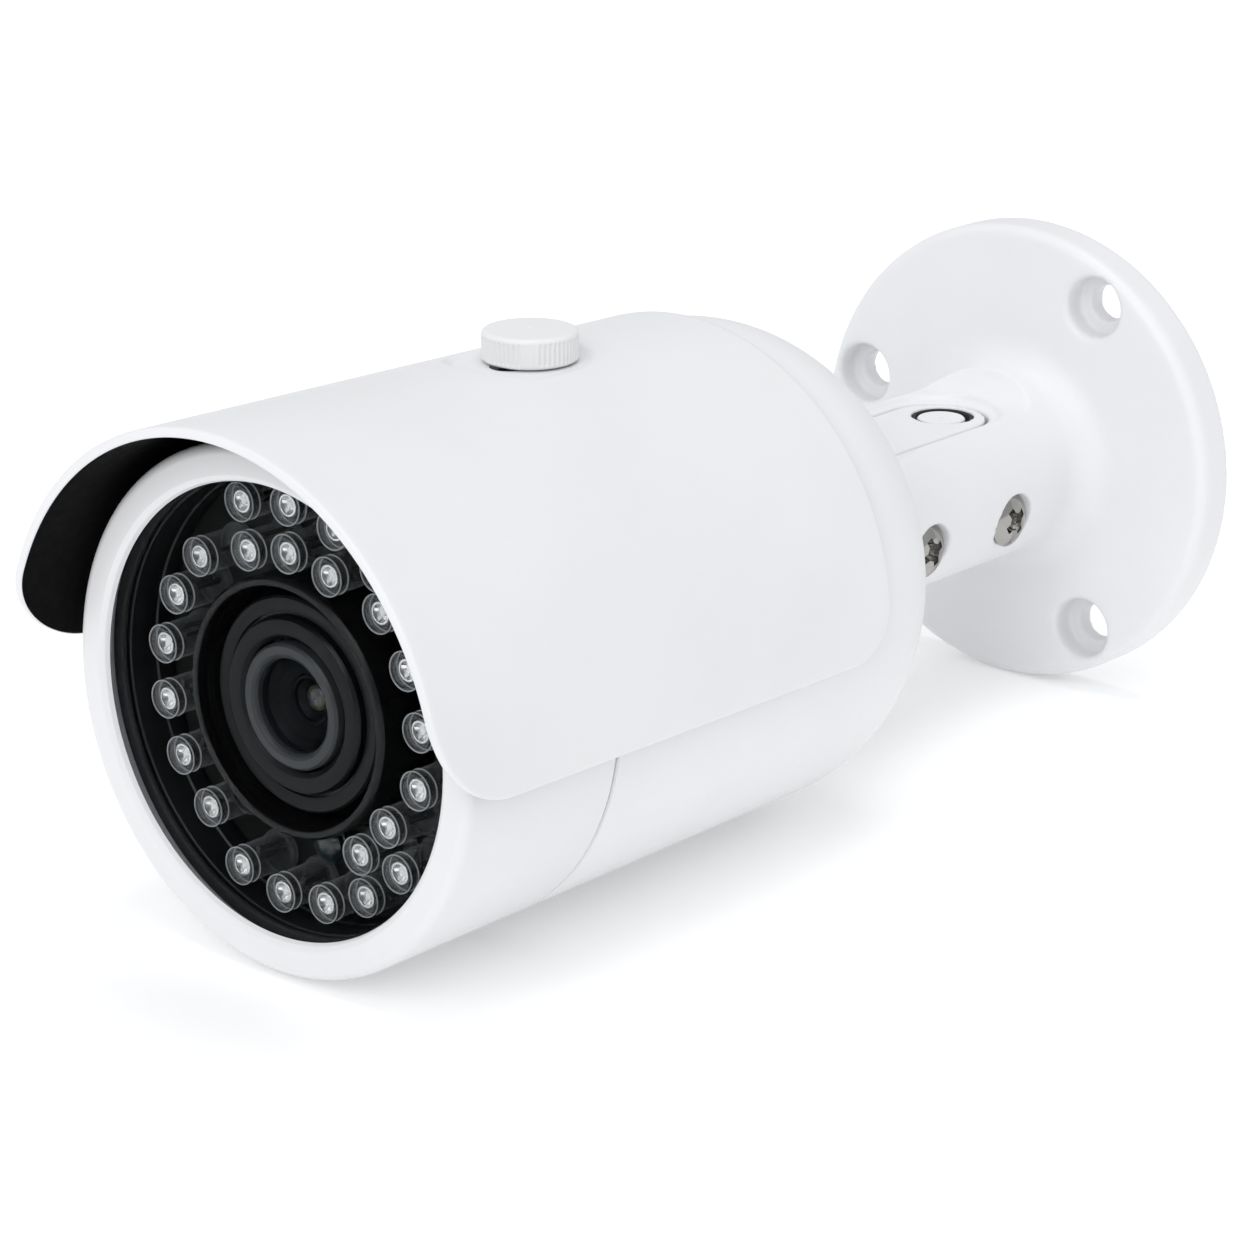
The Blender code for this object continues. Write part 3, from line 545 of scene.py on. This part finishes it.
cuts = [
    slab("c", arc(0, u_c, POCKET_HALF, 0, 180, 24) + [(-POCKET_HALF, -62.0), (POCKET_HALF, -62.0)], POCKET_FLOOR, 30.0),
    block("c", (2 * POCKET_HALF, 30.0, 40.0), (0, PIV_Y + 4.0 - 15.0, POCKET_FLOOR - 10.0)),
    slab("c", arc(0, u_c + 0.4, RIM_HALF, 0, 180, 28) + [(-RIM_HALF, -62.0), (RIM_HALF, -62.0)], RIM_Z, RIM_Z + 12.0),
]
for y in (PIV_Y, CLAMP_Y):
    cuts.append(lathe("c", [(0, 30.0), (3.95, 30.0), (3.95, EAR_FACE), (2.2, EAR_FACE - 2.0), (2.2, -11.5), (0, -11.5)], [], "X", (0, y, PIV_Z), 48))
cuts.append(lathe("c", [(0, -24.0), (5.6, -24.0), (5.6, -4.2), (8.4, -4.2), (8.4, 3.0), (0, 3.0)], [], "Y", (0, 0, 0), 64))
for deg in HOLE_ANGLES:
    x, z = HOLE_PCR * math.cos(math.radians(deg)), HOLE_PCR * math.sin(math.radians(deg))
    cb = -FLANGE_T + 3.7
    cuts.append(lathe("c", soft([(0, -11.0), (5.2, -11.0), (5.2, -FLANGE_T - 0.1), (4.4, -FLANGE_T + 0.5, 0.5), (4.4, cb, 0.5), (2.6, cb, 0.3), (2.6, 3.0), (0, 3.0)], False, 5), [], "Y", (x, 0, z), 48))
combine(flange, cuts)
cast_surface(flange, 0.36, 5)
give(flange, "bracket", ["wall_flange"])

# oval head screws with a cross recess
for tag, y, spin in (("pivot_screw", PIV_Y, 24.0), ("clamp_screw", CLAMP_Y, 33.0)):
    h = EAR_FACE
    head = [(0, h + 1.5), (0.9, h + 1.46), (1.7, h + 1.34), (2.5, h + 1.1), (3.1, h + 0.8), (3.5, h + 0.5, 0.15), (3.85, h + 0.15, 0.15), (3.85, h + 0.02, 0.08), (1.9, h - 2.1, 0.2), (1.9, -10.5), (1.3, -11.1), (0, -11.1)]
    s = lathe(tag + "_oval_head", soft(head, False, 4), STEEL, "X", (0, y, PIV_Z), 96, 30)
    wings = []
    for q in range(2):
        # each wing is a bar whose section narrows with depth
        bm = bmesh.new()
        rows = []
        for depth, length, width in ((2.1, 2.2, 0.62), (0.9, 2.0, 0.55), (0.0, 1.3, 0.42), (-0.9, 0.6, 0.3)):
            a = math.radians(spin + 90 * q)
            ring = []
            for u, v in ((length, width), (length, -width), (-length, -width), (-length, width)):
                yy, zz = u * math.cos(a) - v * math.sin(a), u * math.sin(a) + v * math.cos(a)
                ring.append(bm.verts.new(Vector((h + depth, y + yy, PIV_Z + zz)) * MM))
            rows.append(ring)
        for ra, rb in zip(rows, rows[1:]):
            for i in range(4):
                bm.faces.new((ra[i], ra[(i + 1) % 4], rb[(i + 1) % 4], rb[i]))
        bm.faces.new(rows[0])
        bm.faces.new(rows[-1])
        finish_bm(bm)
        me = bpy.data.meshes.new("c")
        bm.to_mesh(me)
        bm.free()
        c = bpy.data.objects.new("c", me)
        COL.objects.link(c)
        wings.append(c)
    hub = lathe("c", soft([(0, h + 2.6), (1.35, h + 2.6), (1.2, h + 0.6, 0.2), (0.4, h - 1.1, 0.1), (0, h - 1.15)], False, 3), [], "X", (0, y, PIV_Z), 32)
    combine(s, wings + [hub])
    s.data.shade_smooth()
    s.data.set_sharp_from_angle(angle=math.radians(30))
    give(s, "bracket", [tag])

grommet = lathe("cable_grommet_bushing", soft([(3.2, -4.0, 0.3), (5.2, -4.0, 0.2), (5.2, -3.9), (8.1, -3.9, 0.2), (8.1, -0.3, 0.35), (4.2, -0.3, 0.2), (3.7, -0.9, 0.3), (3.2, -1.3, 0.2)], True, 4), RUBBER, "Y", (0, 0, 0), 72)
give(grommet, "bracket", ["cable_grommet"])

# =====================================================================  tilt arm
TONGUE_HALF, TONGUE_END, TONGUE_TOP = 7.0, 24.6, 9.1
COLLAR_R = 13.0
cb_y = PIV_Y - 14.1
cf_y = cb_y - 1.8
tu = PIV_Y + TONGUE_END - TONGUE_HALF
plan = arc(0, tu, TONGUE_HALF, 0, 180, 24) + [(-TONGUE_HALF, cb_y - 0.6), (TONGUE_HALF, cb_y - 0.6)]
arm = slab("tilt_arm_casting", plan, -12, 12, "XY", [WHITE_CAST])
hub = arc(PIV_Y, PIV_Z, 5.0, 300, 180, 12)
arm_side = [(PIV_Y + 40, TONGUE_TOP), (PIV_Y + 40, -1.0), (PIV_Y + 9.0, -1.0), (PIV_Y + 5.6, -4.0)] + hub + [(PIV_Y - 6.0, -7.2), (cb_y - 3.0, -7.2), (cb_y - 3.0, 8.2), (PIV_Y - 6.0, 8.4), (PIV_Y - 1.0, TONGUE_TOP)]
combine(arm, [slab("c", arm_side, -20, 20, "YZ")], "INTERSECT")
combine(arm, [lathe("c", soft([(0, cb_y), (COLLAR_R, cb_y, 0.4), (COLLAR_R, cf_y, 0.1), (9.0, cf_y), (9.0, -69.0, 0.6), (0, -69.0)], False, 4), [], "Y", (0, 0, 0), 96)], "UNION")
combine(arm, [
    lathe("c", [(0, -71.0), (4.6, -71.0), (4.6, cb_y + 2.5), (2.5, cb_y + 5.5), (2.5, -10.0), (0, -10.0)], [], "Y", (0, 0, 2.6), 36),
    lathe("c", [(0, -15), (3.6, -15), (3.6, 15), (0, 15)], [], "X", (0, PIV_Y, PIV_Z), 36),
    lathe("c", [(0, 20.0), (4.45, 20.0), (4.45, 6.9), (2.6, 6.9), (2.6, 2.6), (0, 2.6)], [], "Z", (0, CLAMP_Y, 0), 48),
])
cast_surface(arm, 0.26, 4)
give(arm, "arm", ["tilt_arm"])

plug = lathe("arm_port_plug_disc", soft([(0, 8.5), (0.18, 8.5), (0.35, 8.88, 0.1), (3.2, 8.88, 0.15), (3.4, 8.66, 0.1), (3.4, 7.3), (2.2, 7.3), (2.2, 6.0), (0, 6.0)], False, 4), WHITE_PLASTIC, "Z", (0, CLAMP_Y - 0.36, 0), 72)
seal = lathe("plug_seal_ring", soft([(3.84, 7.0, 0.1), (4.42, 7.0, 0.1), (4.42, 8.86, 0.12), (3.84, 8.86, 0.12)], True, 3), RUBBER, "Z", (0, CLAMP_Y, 0), 72)
give(seal, "arm", ["arm_port_plug"])
give(plug, "arm", ["arm_port_plug"])

# =====================================================================  body shells
BODY_R = 33.0
REAR_Y, DOME_R, REAR_WALL = -58.3, 18.0, 3.0
SEAM_Y, SEAM_GAP = -130.1, 0.3
FRONT_Y = -156.4
ri = BODY_R - 2.2
KNOB_Y = -109.3
p = soft([(9.4, REAR_Y), (9.9, REAR_Y, 0.2), (9.9, REAR_Y - 1.6), (12.5, REAR_Y - 1.6), (12.5, REAR_Y, 0.3)], False, 4) + [(BODY_R - DOME_R, REAR_Y)]
p += arc(BODY_R - DOME_R, REAR_Y - DOME_R, DOME_R, 90, 0, 40)[1:]
p += [(BODY_R, SEAM_Y + 0.55), (BODY_R - 0.08, SEAM_Y + 0.28), (BODY_R - 0.35, SEAM_Y + 0.1), (ri, SEAM_Y + 0.1)]
inner_r = DOME_R - REAR_WALL
p += [(ri - inner_r + inner_r * math.cos(math.radians(a)), REAR_Y - REAR_WALL - inner_r + inner_r * math.sin(math.radians(a))) for a in range(0, 91, 6)] + [(9.4, REAR_Y - REAR_WALL)]
housing = lathe("main_housing_shell", p, WHITE, seg=216)
combine(housing, [lathe("c", [(0, 27.0), (4.2, 27.0), (4.2, 32.4), (0, 32.4)], [], "Z", (0, KNOB_Y, 0), 48)], "UNION")
combine(housing, [lathe("c", [(0, 25.0), (2.3, 25.0), (2.3, 39.0), (0, 39.0)], [], "Z", (0, KNOB_Y, 0), 48)])
housing.data.shade_smooth()
housing.data.set_sharp_from_angle(angle=math.radians(32))
give(housing, "camera", ["main_housing"])

sight = 28.3
p = [(29.9, SEAM_Y + 9.0), (29.9, SEAM_Y + 5.2), (28.95, SEAM_Y + 5.2), (28.95, SEAM_Y + 3.2), (29.9, SEAM_Y + 3.2), (29.9, SEAM_Y - SEAM_GAP), (BODY_R - 0.35, SEAM_Y - SEAM_GAP), (BODY_R - 0.08, SEAM_Y - SEAM_GAP - 0.18), (BODY_R, SEAM_Y - SEAM_GAP - 0.45)]
p += arc(BODY_R - 1.4, FRONT_Y + 1.4, 1.4, 0, -90, 10)
p += soft([(sight + 1.4, FRONT_Y), (sight + 0.9, FRONT_Y, 0.35), (sight + 0.25, FRONT_Y + 0.45, 0.3), (sight, -155.35), (30.5, -155.3), (30.5, SEAM_Y - 5.0), (27.6, SEAM_Y - 3.4), (27.6, SEAM_Y + 9.0)], False, 5)
barrel = lathe("front_barrel_shell", p, WHITE, seg=216)
give(barrel, "camera", ["front_barrel"])

glass = lathe("front_window_glass", soft([(0, -155.2), (30.2, -155.2, 0.3), (30.2, -153.4, 0.2), (0, -153.4)], False, 3), WINDOW, seg=192)
give(glass, "camera", ["front_glass"])
gasket = lathe("window_gasket", soft([(28.5, -153.1, 0.3), (30.2, -153.1, 0.2), (30.2, -152.2, 0.2), (28.5, -152.2, 0.3)], True, 3), RUBBER, seg=160)
give(gasket, "camera", ["glass_gasket"])
spacer = lathe("board_spacer_ring", soft([(28.3, -151.9, 0.3), (30.2, -151.9, 0.2), (30.2, -144.8), (28.3, -144.8, 0.2), (28.3, -147.4), (28.55, -147.6), (28.55, -149.4), (28.3, -149.6)], True, 3), BLACK_PLASTIC, seg=160)
give(spacer, "camera", ["board_spacer"])

# =====================================================================  LED board and LEDs
BOARD_Y = -144.5
board = lathe("ir_led_circuit_board", soft([(16.9, BOARD_Y, 0.15), (30.1, BOARD_Y, 0.15), (30.1, BOARD_Y + 1.6, 0.1), (16.9, BOARD_Y + 1.6, 0.1)], True, 2), MASK, seg=160)
give(board, "camera", ["ir_led_board"])

LED_GROUPS = ((21.7, -14.0, 19.5, 4), (21.7, 133.0, 19.0, 5), (21.7, 228.5, 0.0, 1),
              (25.3, 53.0, 17.8, 4), (19.4, 68.0, 20.5, 3), (24.3, 248.0, 17.3, 5), (19.5, 305.5, 19.3, 2))
TIP = -153.05
led_profile = soft([(0, TIP + 0.10), (1.5, TIP + 0.10), (1.62, TIP + 0.2, 0.06), (1.9, TIP + 0.2, 0.06), (1.98, TIP + 0.08, 0.06), (2.15, TIP + 0.08, 0.1), (2.42, TIP + 0.35, 0.18), (2.42, TIP + 1.15, 0.06), (2.28, TIP + 1.25, 0.06), (2.28, TIP + 1.42, 0.06), (2.4, TIP + 1.52, 0.06), (2.34, TIP + 1.8, 0.1), (2.34, -146.3, 0.1), (2.8, -146.2, 0.1), (2.8, -145.4, 0.1), (2.3, -145.25), (0, -145.25)], False, 4)
cup_profile = soft([(0, -151.6), (0.72, -151.65, 0.1), (1.0, -152.2, 0.08), (1.12, -152.45, 0.08), (1.42, -152.4, 0.1), (1.5, -151.9, 0.15), (1.25, -150.6, 0.3), (0.7, -149.2, 0.2), (0, -149.1)], False, 4)
bodies, cups, leads, dies, rims = (bmesh.new() for _ in range(5))


def box_bm(bm, size, loc, rot):
    made = bmesh.ops.create_cube(bm, size=1.0)["verts"]
    for v in made:
        q = Vector((v.co.x * size[0], v.co.y * size[1], v.co.z * size[2]))
        q.rotate(rot)
        v.co = (q + Vector(loc)) * MM


no = 0
for radius, first, step, count in LED_GROUPS:
    for i in range(count):
        a = math.radians(first + step * i)
        x, z = radius * math.cos(a), radius * math.sin(a)
        no += 1
        turn = Matrix.Rotation(math.radians(-35 + 37 * no), 3, "Y")
        lathe_bm(bodies, led_profile, "Y", (x, 0, z), 48)
        lathe_bm(cups, cup_profile, "Y", (x, 0, z), 32)
        # Two thin grey rings on each LED body's edges: painted rim highlights.
        for ring_y in (TIP + 0.24, TIP + 1.44):
            lathe_bm(rims, [(2.31, ring_y), (2.45, ring_y), (2.45, ring_y + 0.12), (2.31, ring_y + 0.12)], "Y", (x, 0, z), 40)
        off = turn @ Vector((1.25, 0, 0))
        box_bm(leads, (0.55, 5.0, 0.5), (x, -147.7, z), turn)
        box_bm(leads, (0.55, 4.2, 0.5), (x + off.x, -147.3, z + off.z), turn)
        box_bm(leads, (0.9, 0.4, 0.6), (x + off.x * 0.95, -149.4, z + off.z * 0.95), turn)
        box_bm(dies, (0.7, 0.25, 0.7), (x, -151.72, z), turn)
for bm, name, mat, slot, sharp in ((bodies, "led_epoxy_lenses", EPOXY, "clear_glass", 32), (cups, "led_reflector_cups", TIN, "stainless", 34), (leads, "led_lead_frames", LEAD, "stainless", 30), (rims, "led_edge_painted_highlight_rings", RIM, "clear_glass", 30), (dies, "led_emitter_dies", DIE, "white_plastic", 30)):
    finish_bm(bm)
    me = bpy.data.meshes.new(name)
    bm.to_mesh(me)
    bm.free()
    give(link(name, me, mat, sharp), "camera", ["ir_led_board"])

SX, SZ = 0.4, -18.9
cell = lathe("light_sensor_window", soft([(0, -147.95), (1.0, -147.85), (1.8, -147.55), (2.3, -147.0, 0.2), (2.4, -146.4), (2.6, -146.3), (2.6, -144.8), (0, -144.8)], False, 4), SENSOR_LENS, "Y", (SX, 0, SZ), 64)
give(cell, "camera", ["light_sensor"])

# =====================================================================  lens group
def ridged(r, y0, y1, pitch, depth, out=-1):
    """A fine thread along the axis as outline points."""
    pts, y = [], y0
    n = max(1, int(round(abs(y1 - y0) / pitch)))
    s = (y1 - y0) / n
    for i in range(n):
        pts += [(r, y0 + s * i), (r + out * depth, y0 + s * (i + 0.5))]
    return pts + [(r, y1)]


hood = lathe("lens_hood_ring", soft([(15.25, -153.2, 0.1), (15.9, -153.2, 0.15), (16.3, -152.75, 0.15), (16.3, -141.0), (14.9, -141.0)], False, 3) + [(14.9, -147.0)] + ridged(14.9, -147.4, -151.8, 0.55, 0.12, 1) + [(14.95, -152.3), (15.1, -153.05)], BLACK_RING, seg=160, sharp=24)
give(hood, "camera", ["lens_hood"])


def lens_bands(c):
    r = math.hypot(c.x, c.z)
    return 1 if (8.3 < r < 10.9 or 11.5 < r < 13.4) else 0


lens_outline = soft([(8.25, -149.0), (8.25, -151.35, 0.1), (8.9, -151.9, 0.1), (10.7, -151.9, 0.12), (11.1, -151.4, 0.1), (11.1, -150.5, 0.1), (11.5, -150.5), (11.5, -151.0, 0.1), (13.2, -151.15, 0.12), (13.5, -150.8, 0.1), (13.6, -148.2, 0.1), (14.5, -148.0, 0.1), (14.5, -141.0), (9.2, -141.0), (9.2, -134.0), (6.0, -134.0), (6.0, -138.0), (7.2, -138.0), (7.2, -149.0)], True, 3)
lens_barrel = lathe("lens_barrel_rings", lens_outline, [BLACK_RING, BLACK_STEP], seg=144, sharp=24, bands=lens_bands)
give(lens_barrel, "camera", ["lens_barrel"])
ret = lathe("lens_retaining_ring_bevelled", soft([(5.95, -150.9), (5.95, -151.75, 0.08), (6.2, -152.1, 0.1), (6.6, -152.35, 0.12), (7.55, -152.35, 0.15), (7.9, -152.0, 0.1), (7.9, -149.6), (5.95, -149.6)], True, 3), GREY_RING, seg=128, sharp=26)
give(ret, "camera", ["lens_retaining_ring"])

dome = [(5.9 * math.sin(math.radians(t)), -151.05 - 0.95 * math.cos(math.radians(t))) for t in range(0, 91, 5)]
front_el = lathe("lens_front_dome", dome + [(5.9, -150.7)] + [(5.6 * math.sin(math.radians(t)), -150.5 - 0.7 * math.cos(math.radians(t))) for t in range(84, -1, -7)], LENS_OUTER, seg=96, sharp=40)
give(front_el, "camera", ["lens_front_element"])
cone = lathe("lens_inner_baffle", soft([(5.9, -150.35), (5.6, -150.35, 0.1), (4.6, -149.5, 0.15), (3.3, -148.7, 0.1), (3.1, -148.85, 0.06), (2.75, -148.8, 0.06), (2.6, -148.4, 0.1), (1.75, -147.8, 0.1), (1.75, -146.4), (6.8, -146.4), (6.8, -149.2), (5.9, -149.2)], True, 3), BLACK_STEP, seg=96, sharp=26)
give(cone, "camera", ["lens_front_element"])
# Deep lens element whose coloured patches are painted reflection glints.
inner = lathe("lens_second_element", [(1.7 * math.sin(math.radians(t)), -147.6 - 0.8 * math.cos(math.radians(t))) for t in range(0, 91, 6)] + [(1.7, -146.8), (0, -146.7)], GLINT, seg=64, sharp=40)
give(inner, "camera", ["lens_front_element"])
rear = lathe("lens_rear_element_disc", soft([(0, -141.6), (2.6, -141.4), (5.2, -141.0), (5.7, -140.6, 0.2), (5.7, -138.4, 0.2), (2.6, -138.1), (0, -138.0)], False, 4), LENS_REAR, seg=72, sharp=40)
give(rear, "camera", ["lens_rear_element"])

# =====================================================================  sunshield
SH_ANGLE, SH_FRONT, SH_REAR = 97.5, -164.7, -79.6
R_F, R_R, WALL = 36.7, 34.5, 1.3
LIMITS = {-1: (86.0, 94.0), 1: (93.0, 97.5)}     # side edges in degrees at front and rear, on -X and +X
C_F, C_R = 12.5, 6.8
LIP = 0.55
REC_Z, REC_R, SLOT_R, TRAVEL = 34.2, 7.2, 2.4, 4.0


def shield_r(y):
    return R_F + (R_R - R_F) * (y - SH_FRONT) / (SH_REAR - SH_FRONT)


R_MEAN = 0.5 * (R_F + R_R)
A_IN = SH_ANGLE - math.degrees(LIP / R_MEAN)


def ends(phi):
    s = math.radians(max(A_IN - abs(phi), 0.0)) * R_MEAN

    def corner(r):
        return 0.0 if s >= r else r - math.sqrt(max(r * r - (r - s) ** 2, 0.0))
    return SH_FRONT + LIP + corner(C_F - LIP), SH_REAR - LIP - corner(C_R - LIP)


half = [A_IN]
s_mm = 0.0
while s_mm < C_F:                      # close columns round the corners
    s_mm += 0.012 + 0.09 * s_mm if s_mm < 4 else 0.42
    half.append(A_IN - math.degrees(s_mm / R_MEAN))
step = (half[-1] - 14.0) / 44
while half[-1] > 14.0 + 1e-6:
    half.append(half[-1] - step)
fine_n = 26
base = half[-1]
half += [base * (1 - i / fine_n) for i in range(1, fine_n + 1)]
phis = sorted({round(-a, 6) for a in half} | {round(a, 6) for a in half})
y_lo, y_hi = ends(0.0)
marks = []
y = y_lo
while y < y_hi - 1e-6:
    marks.append((y - y_lo) / (y_hi - y_lo))
    y += 0.42 if KNOB_Y - TRAVEL - 9.5 < y < KNOB_Y + 9.5 else 1.5
marks.append(1.0)


def smooth(t):
    t = min(max(t, 0.0), 1.0)
    return t * t * (3 - 2 * t)


def leaned(phi, y):
    t = (y - SH_FRONT) / (SH_REAR - SH_FRONT)
    a, b = LIMITS[1 if phi > 0 else -1]
    return phi * (a + (b - a) * t) / SH_ANGLE


def sheet_point(phi, y, depth):
    r = shield_r(y) - depth
    a = math.radians(leaned(phi, y))
    x, z = r * math.sin(a), r * math.cos(a)
    if depth == 0.0:
        near = min(max(y, KNOB_Y - TRAVEL), KNOB_Y)
        d = math.hypot(x, y - near) - REC_R
        if z > REC_Z and d < 1.1:
            z = REC_Z + (z - REC_Z) * smooth((d + 0.15) / 1.1)
    else:
        near = min(max(y, KNOB_Y - TRAVEL), KNOB_Y)
        d = math.hypot(x, y - near) - REC_R
        if z > 33.28 and d < 0.6:
            z = 33.28 + (z - 33.28) * smooth((d + 1.0) / 1.6)
    return Vector((x, y, z)) * MM


bm = bmesh.new()
outer, under = [], []
for phi in phis:
    a, b = ends(phi)
    outer.append([bm.verts.new(sheet_point(phi, a + (b - a) * m, 0.0)) for m in marks])
    under.append([bm.verts.new(sheet_point(phi, a + (b - a) * m, WALL)) for m in marks])
nc, nr = len(phis), len(marks)
for i in range(nc - 1):
    for j in range(nr - 1):
        bm.faces.new((outer[i][j], outer[i + 1][j], outer[i + 1][j + 1], outer[i][j + 1])).material_index = 0
        # Underside faces take the near black slot, painted shade under the shield.
        bm.faces.new((under[i][j], under[i][j + 1], under[i + 1][j + 1], under[i + 1][j])).material_index = 1
loop = [(i, 0) for i in range(nc)] + [(nc - 1, j) for j in range(1, nr)] + [(i, nr - 1) for i in range(nc - 2, -1, -1)] + [(0, j) for j in range(nr - 2, 0, -1)]


def flat(i, j):
    a, b = ends(phis[i])
    y = a + (b - a) * marks[j]
    return Vector((math.radians(leaned(phis[i], y)) * R_MEAN, y))


flats = [flat(i, j) for i, j in loop]
strips = []
TURNS = 7
for q, (i, j) in enumerate(loop):
    before, after = flats[q - 1], flats[(q + 1) % len(loop)]
    t = (after - before).normalized()
    n2 = Vector((t.y, -t.x))
    phi = math.radians(leaned(phis[i], flats[q].y))
    outward = Vector((math.cos(phi) * n2.x, n2.y, -math.sin(phi) * n2.x))
    top, low = outer[i][j].co / MM, under[i][j].co / MM
    mid, up = (top + low) / 2, (top - low) / 2
    row = [outer[i][j]]
    for kk in range(1, TURNS):
        th = math.pi * kk / TURNS
        c, s = math.cos(th), math.sin(th)
        c = math.copysign(abs(c) ** 0.55, c)
        s = s ** 0.55
        row.append(bm.verts.new((mid + up * c + outward * (LIP * s)) * MM))
    row.append(under[i][j])
    strips.append(row)
for q in range(len(strips)):
    a, b = strips[q], strips[(q + 1) % len(strips)]
    for kk in range(TURNS):
        f = bm.faces.new((a[kk], b[kk], b[kk + 1], a[kk + 1]))
        # The inner half of the edge lip takes the painted shade slot too.
        f.material_index = 0 if kk < TURNS - 1 else 1
finish_bm(bm)
me = bpy.data.meshes.new("sunshield_sheet")
bm.to_mesh(me)
bm.free()
shield = link("sunshield_sheet", me, [WHITE, UNDERSIDE_PAINTED_SHADE], 40)
combine(shield, [slab("c", arc(0, KNOB_Y, SLOT_R, 0, 180, 20) + arc(0, KNOB_Y - TRAVEL, SLOT_R, 180, 360, 20), 28.0, 42.0)])
shield.data.shade_smooth()
shield.data.set_sharp_from_angle(angle=math.radians(40))
give(shield, "shield", ["sunshield"])

# =====================================================================  thumbscrew and washer
KNOB_R, KNOB_TOP = 6.1, 38.4
washer = lathe("thumbscrew_washer_disc", soft([(2.3, 34.32, 0.1), (4.2, 34.32, 0.1), (4.2, 34.72, 0.1), (2.3, 34.72, 0.1)], True, 3), STEEL, "Z", (0, KNOB_Y, 0), 72)
give(washer, "screw_lift", ["thumbscrew_washer"])
kz = 34.42
RIBS = 56


def knob_r(r, z, phi):
    """Ribs between the two rounded edges, fading out on four smooth flats."""
    if r < KNOB_R - 0.75:
        return r
    along = smooth((z - (kz + 0.35)) / 0.3) * smooth(((KNOB_TOP - 0.62) - z) / 0.3)
    turn = (math.degrees(phi) + 49.0 + 45.0) % 90.0 - 45.0
    flatness = 0.22 + 0.78 * smooth((abs(turn) - 8.0) / 7.0)
    wave = 0.5 - 0.5 * math.cos(RIBS * phi)
    return r - 0.2 * along * flatness * (wave ** 1.4)


side_rows = [(KNOB_R, kz + 0.55 + (KNOB_TOP - 0.55 - kz - 0.75) * i / 12) for i in range(13)]
p = [(0, KNOB_TOP - 0.14), (0.16, KNOB_TOP - 0.13), (0.34, KNOB_TOP - 0.015)] + [(x, KNOB_TOP - 0.10 * (x / 5.1) ** 2) for x in (0.6, 1.5, 2.5, 3.5, 4.4, 5.0)]
p += arc(KNOB_R - 0.62, KNOB_TOP - 0.12 - 0.62, 0.62, 88, 4, 7)
p += list(reversed(side_rows)) + arc(KNOB_R - 0.5, kz + 0.5, 0.5, -4, -88, 5)
p += [(4.7, kz), (4.7, 34.84), (1.9, 34.84), (1.9, 27.6), (1.4, 27.0), (0, 27.0)]
knob = lathe("thumbscrew_ribbed_knob", p, WHITE_PLASTIC, "Z", (0, KNOB_Y, 0), RIBS * 8, 36, knob_r)
give(knob, "knob", ["thumbscrew"])

# =====================================================================  carried over pieces
CARRIED = {
    "pivot_bush": BLACK_PLASTIC, "thrust_washer": BLACK_PLASTIC, "lock_nut": STEEL,
    "rear_o_ring": RUBBER, "barrel_o_ring": RUBBER, "lens_holder": BLACK_PLASTIC,
    "ir_cut_frame": BLACK_PLASTIC, "ir_cut_filter": FILTER, "sensor_board": GREEN,
    "image_sensor": CHIP, "carrier": CAST_ALU, "main_board": GREEN, "processor": CHIP,
    "thermal_pad": PAD, "heat_sink": CAST_ALU, "standoff_1": BRASS, "standoff_2": BRASS,
    "standoff_3": BRASS, "standoff_4": BRASS,
}
for name, mat in CARRIED.items():
    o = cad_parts[name]
    o.data.materials.clear()
    o.data.materials.append(mat)
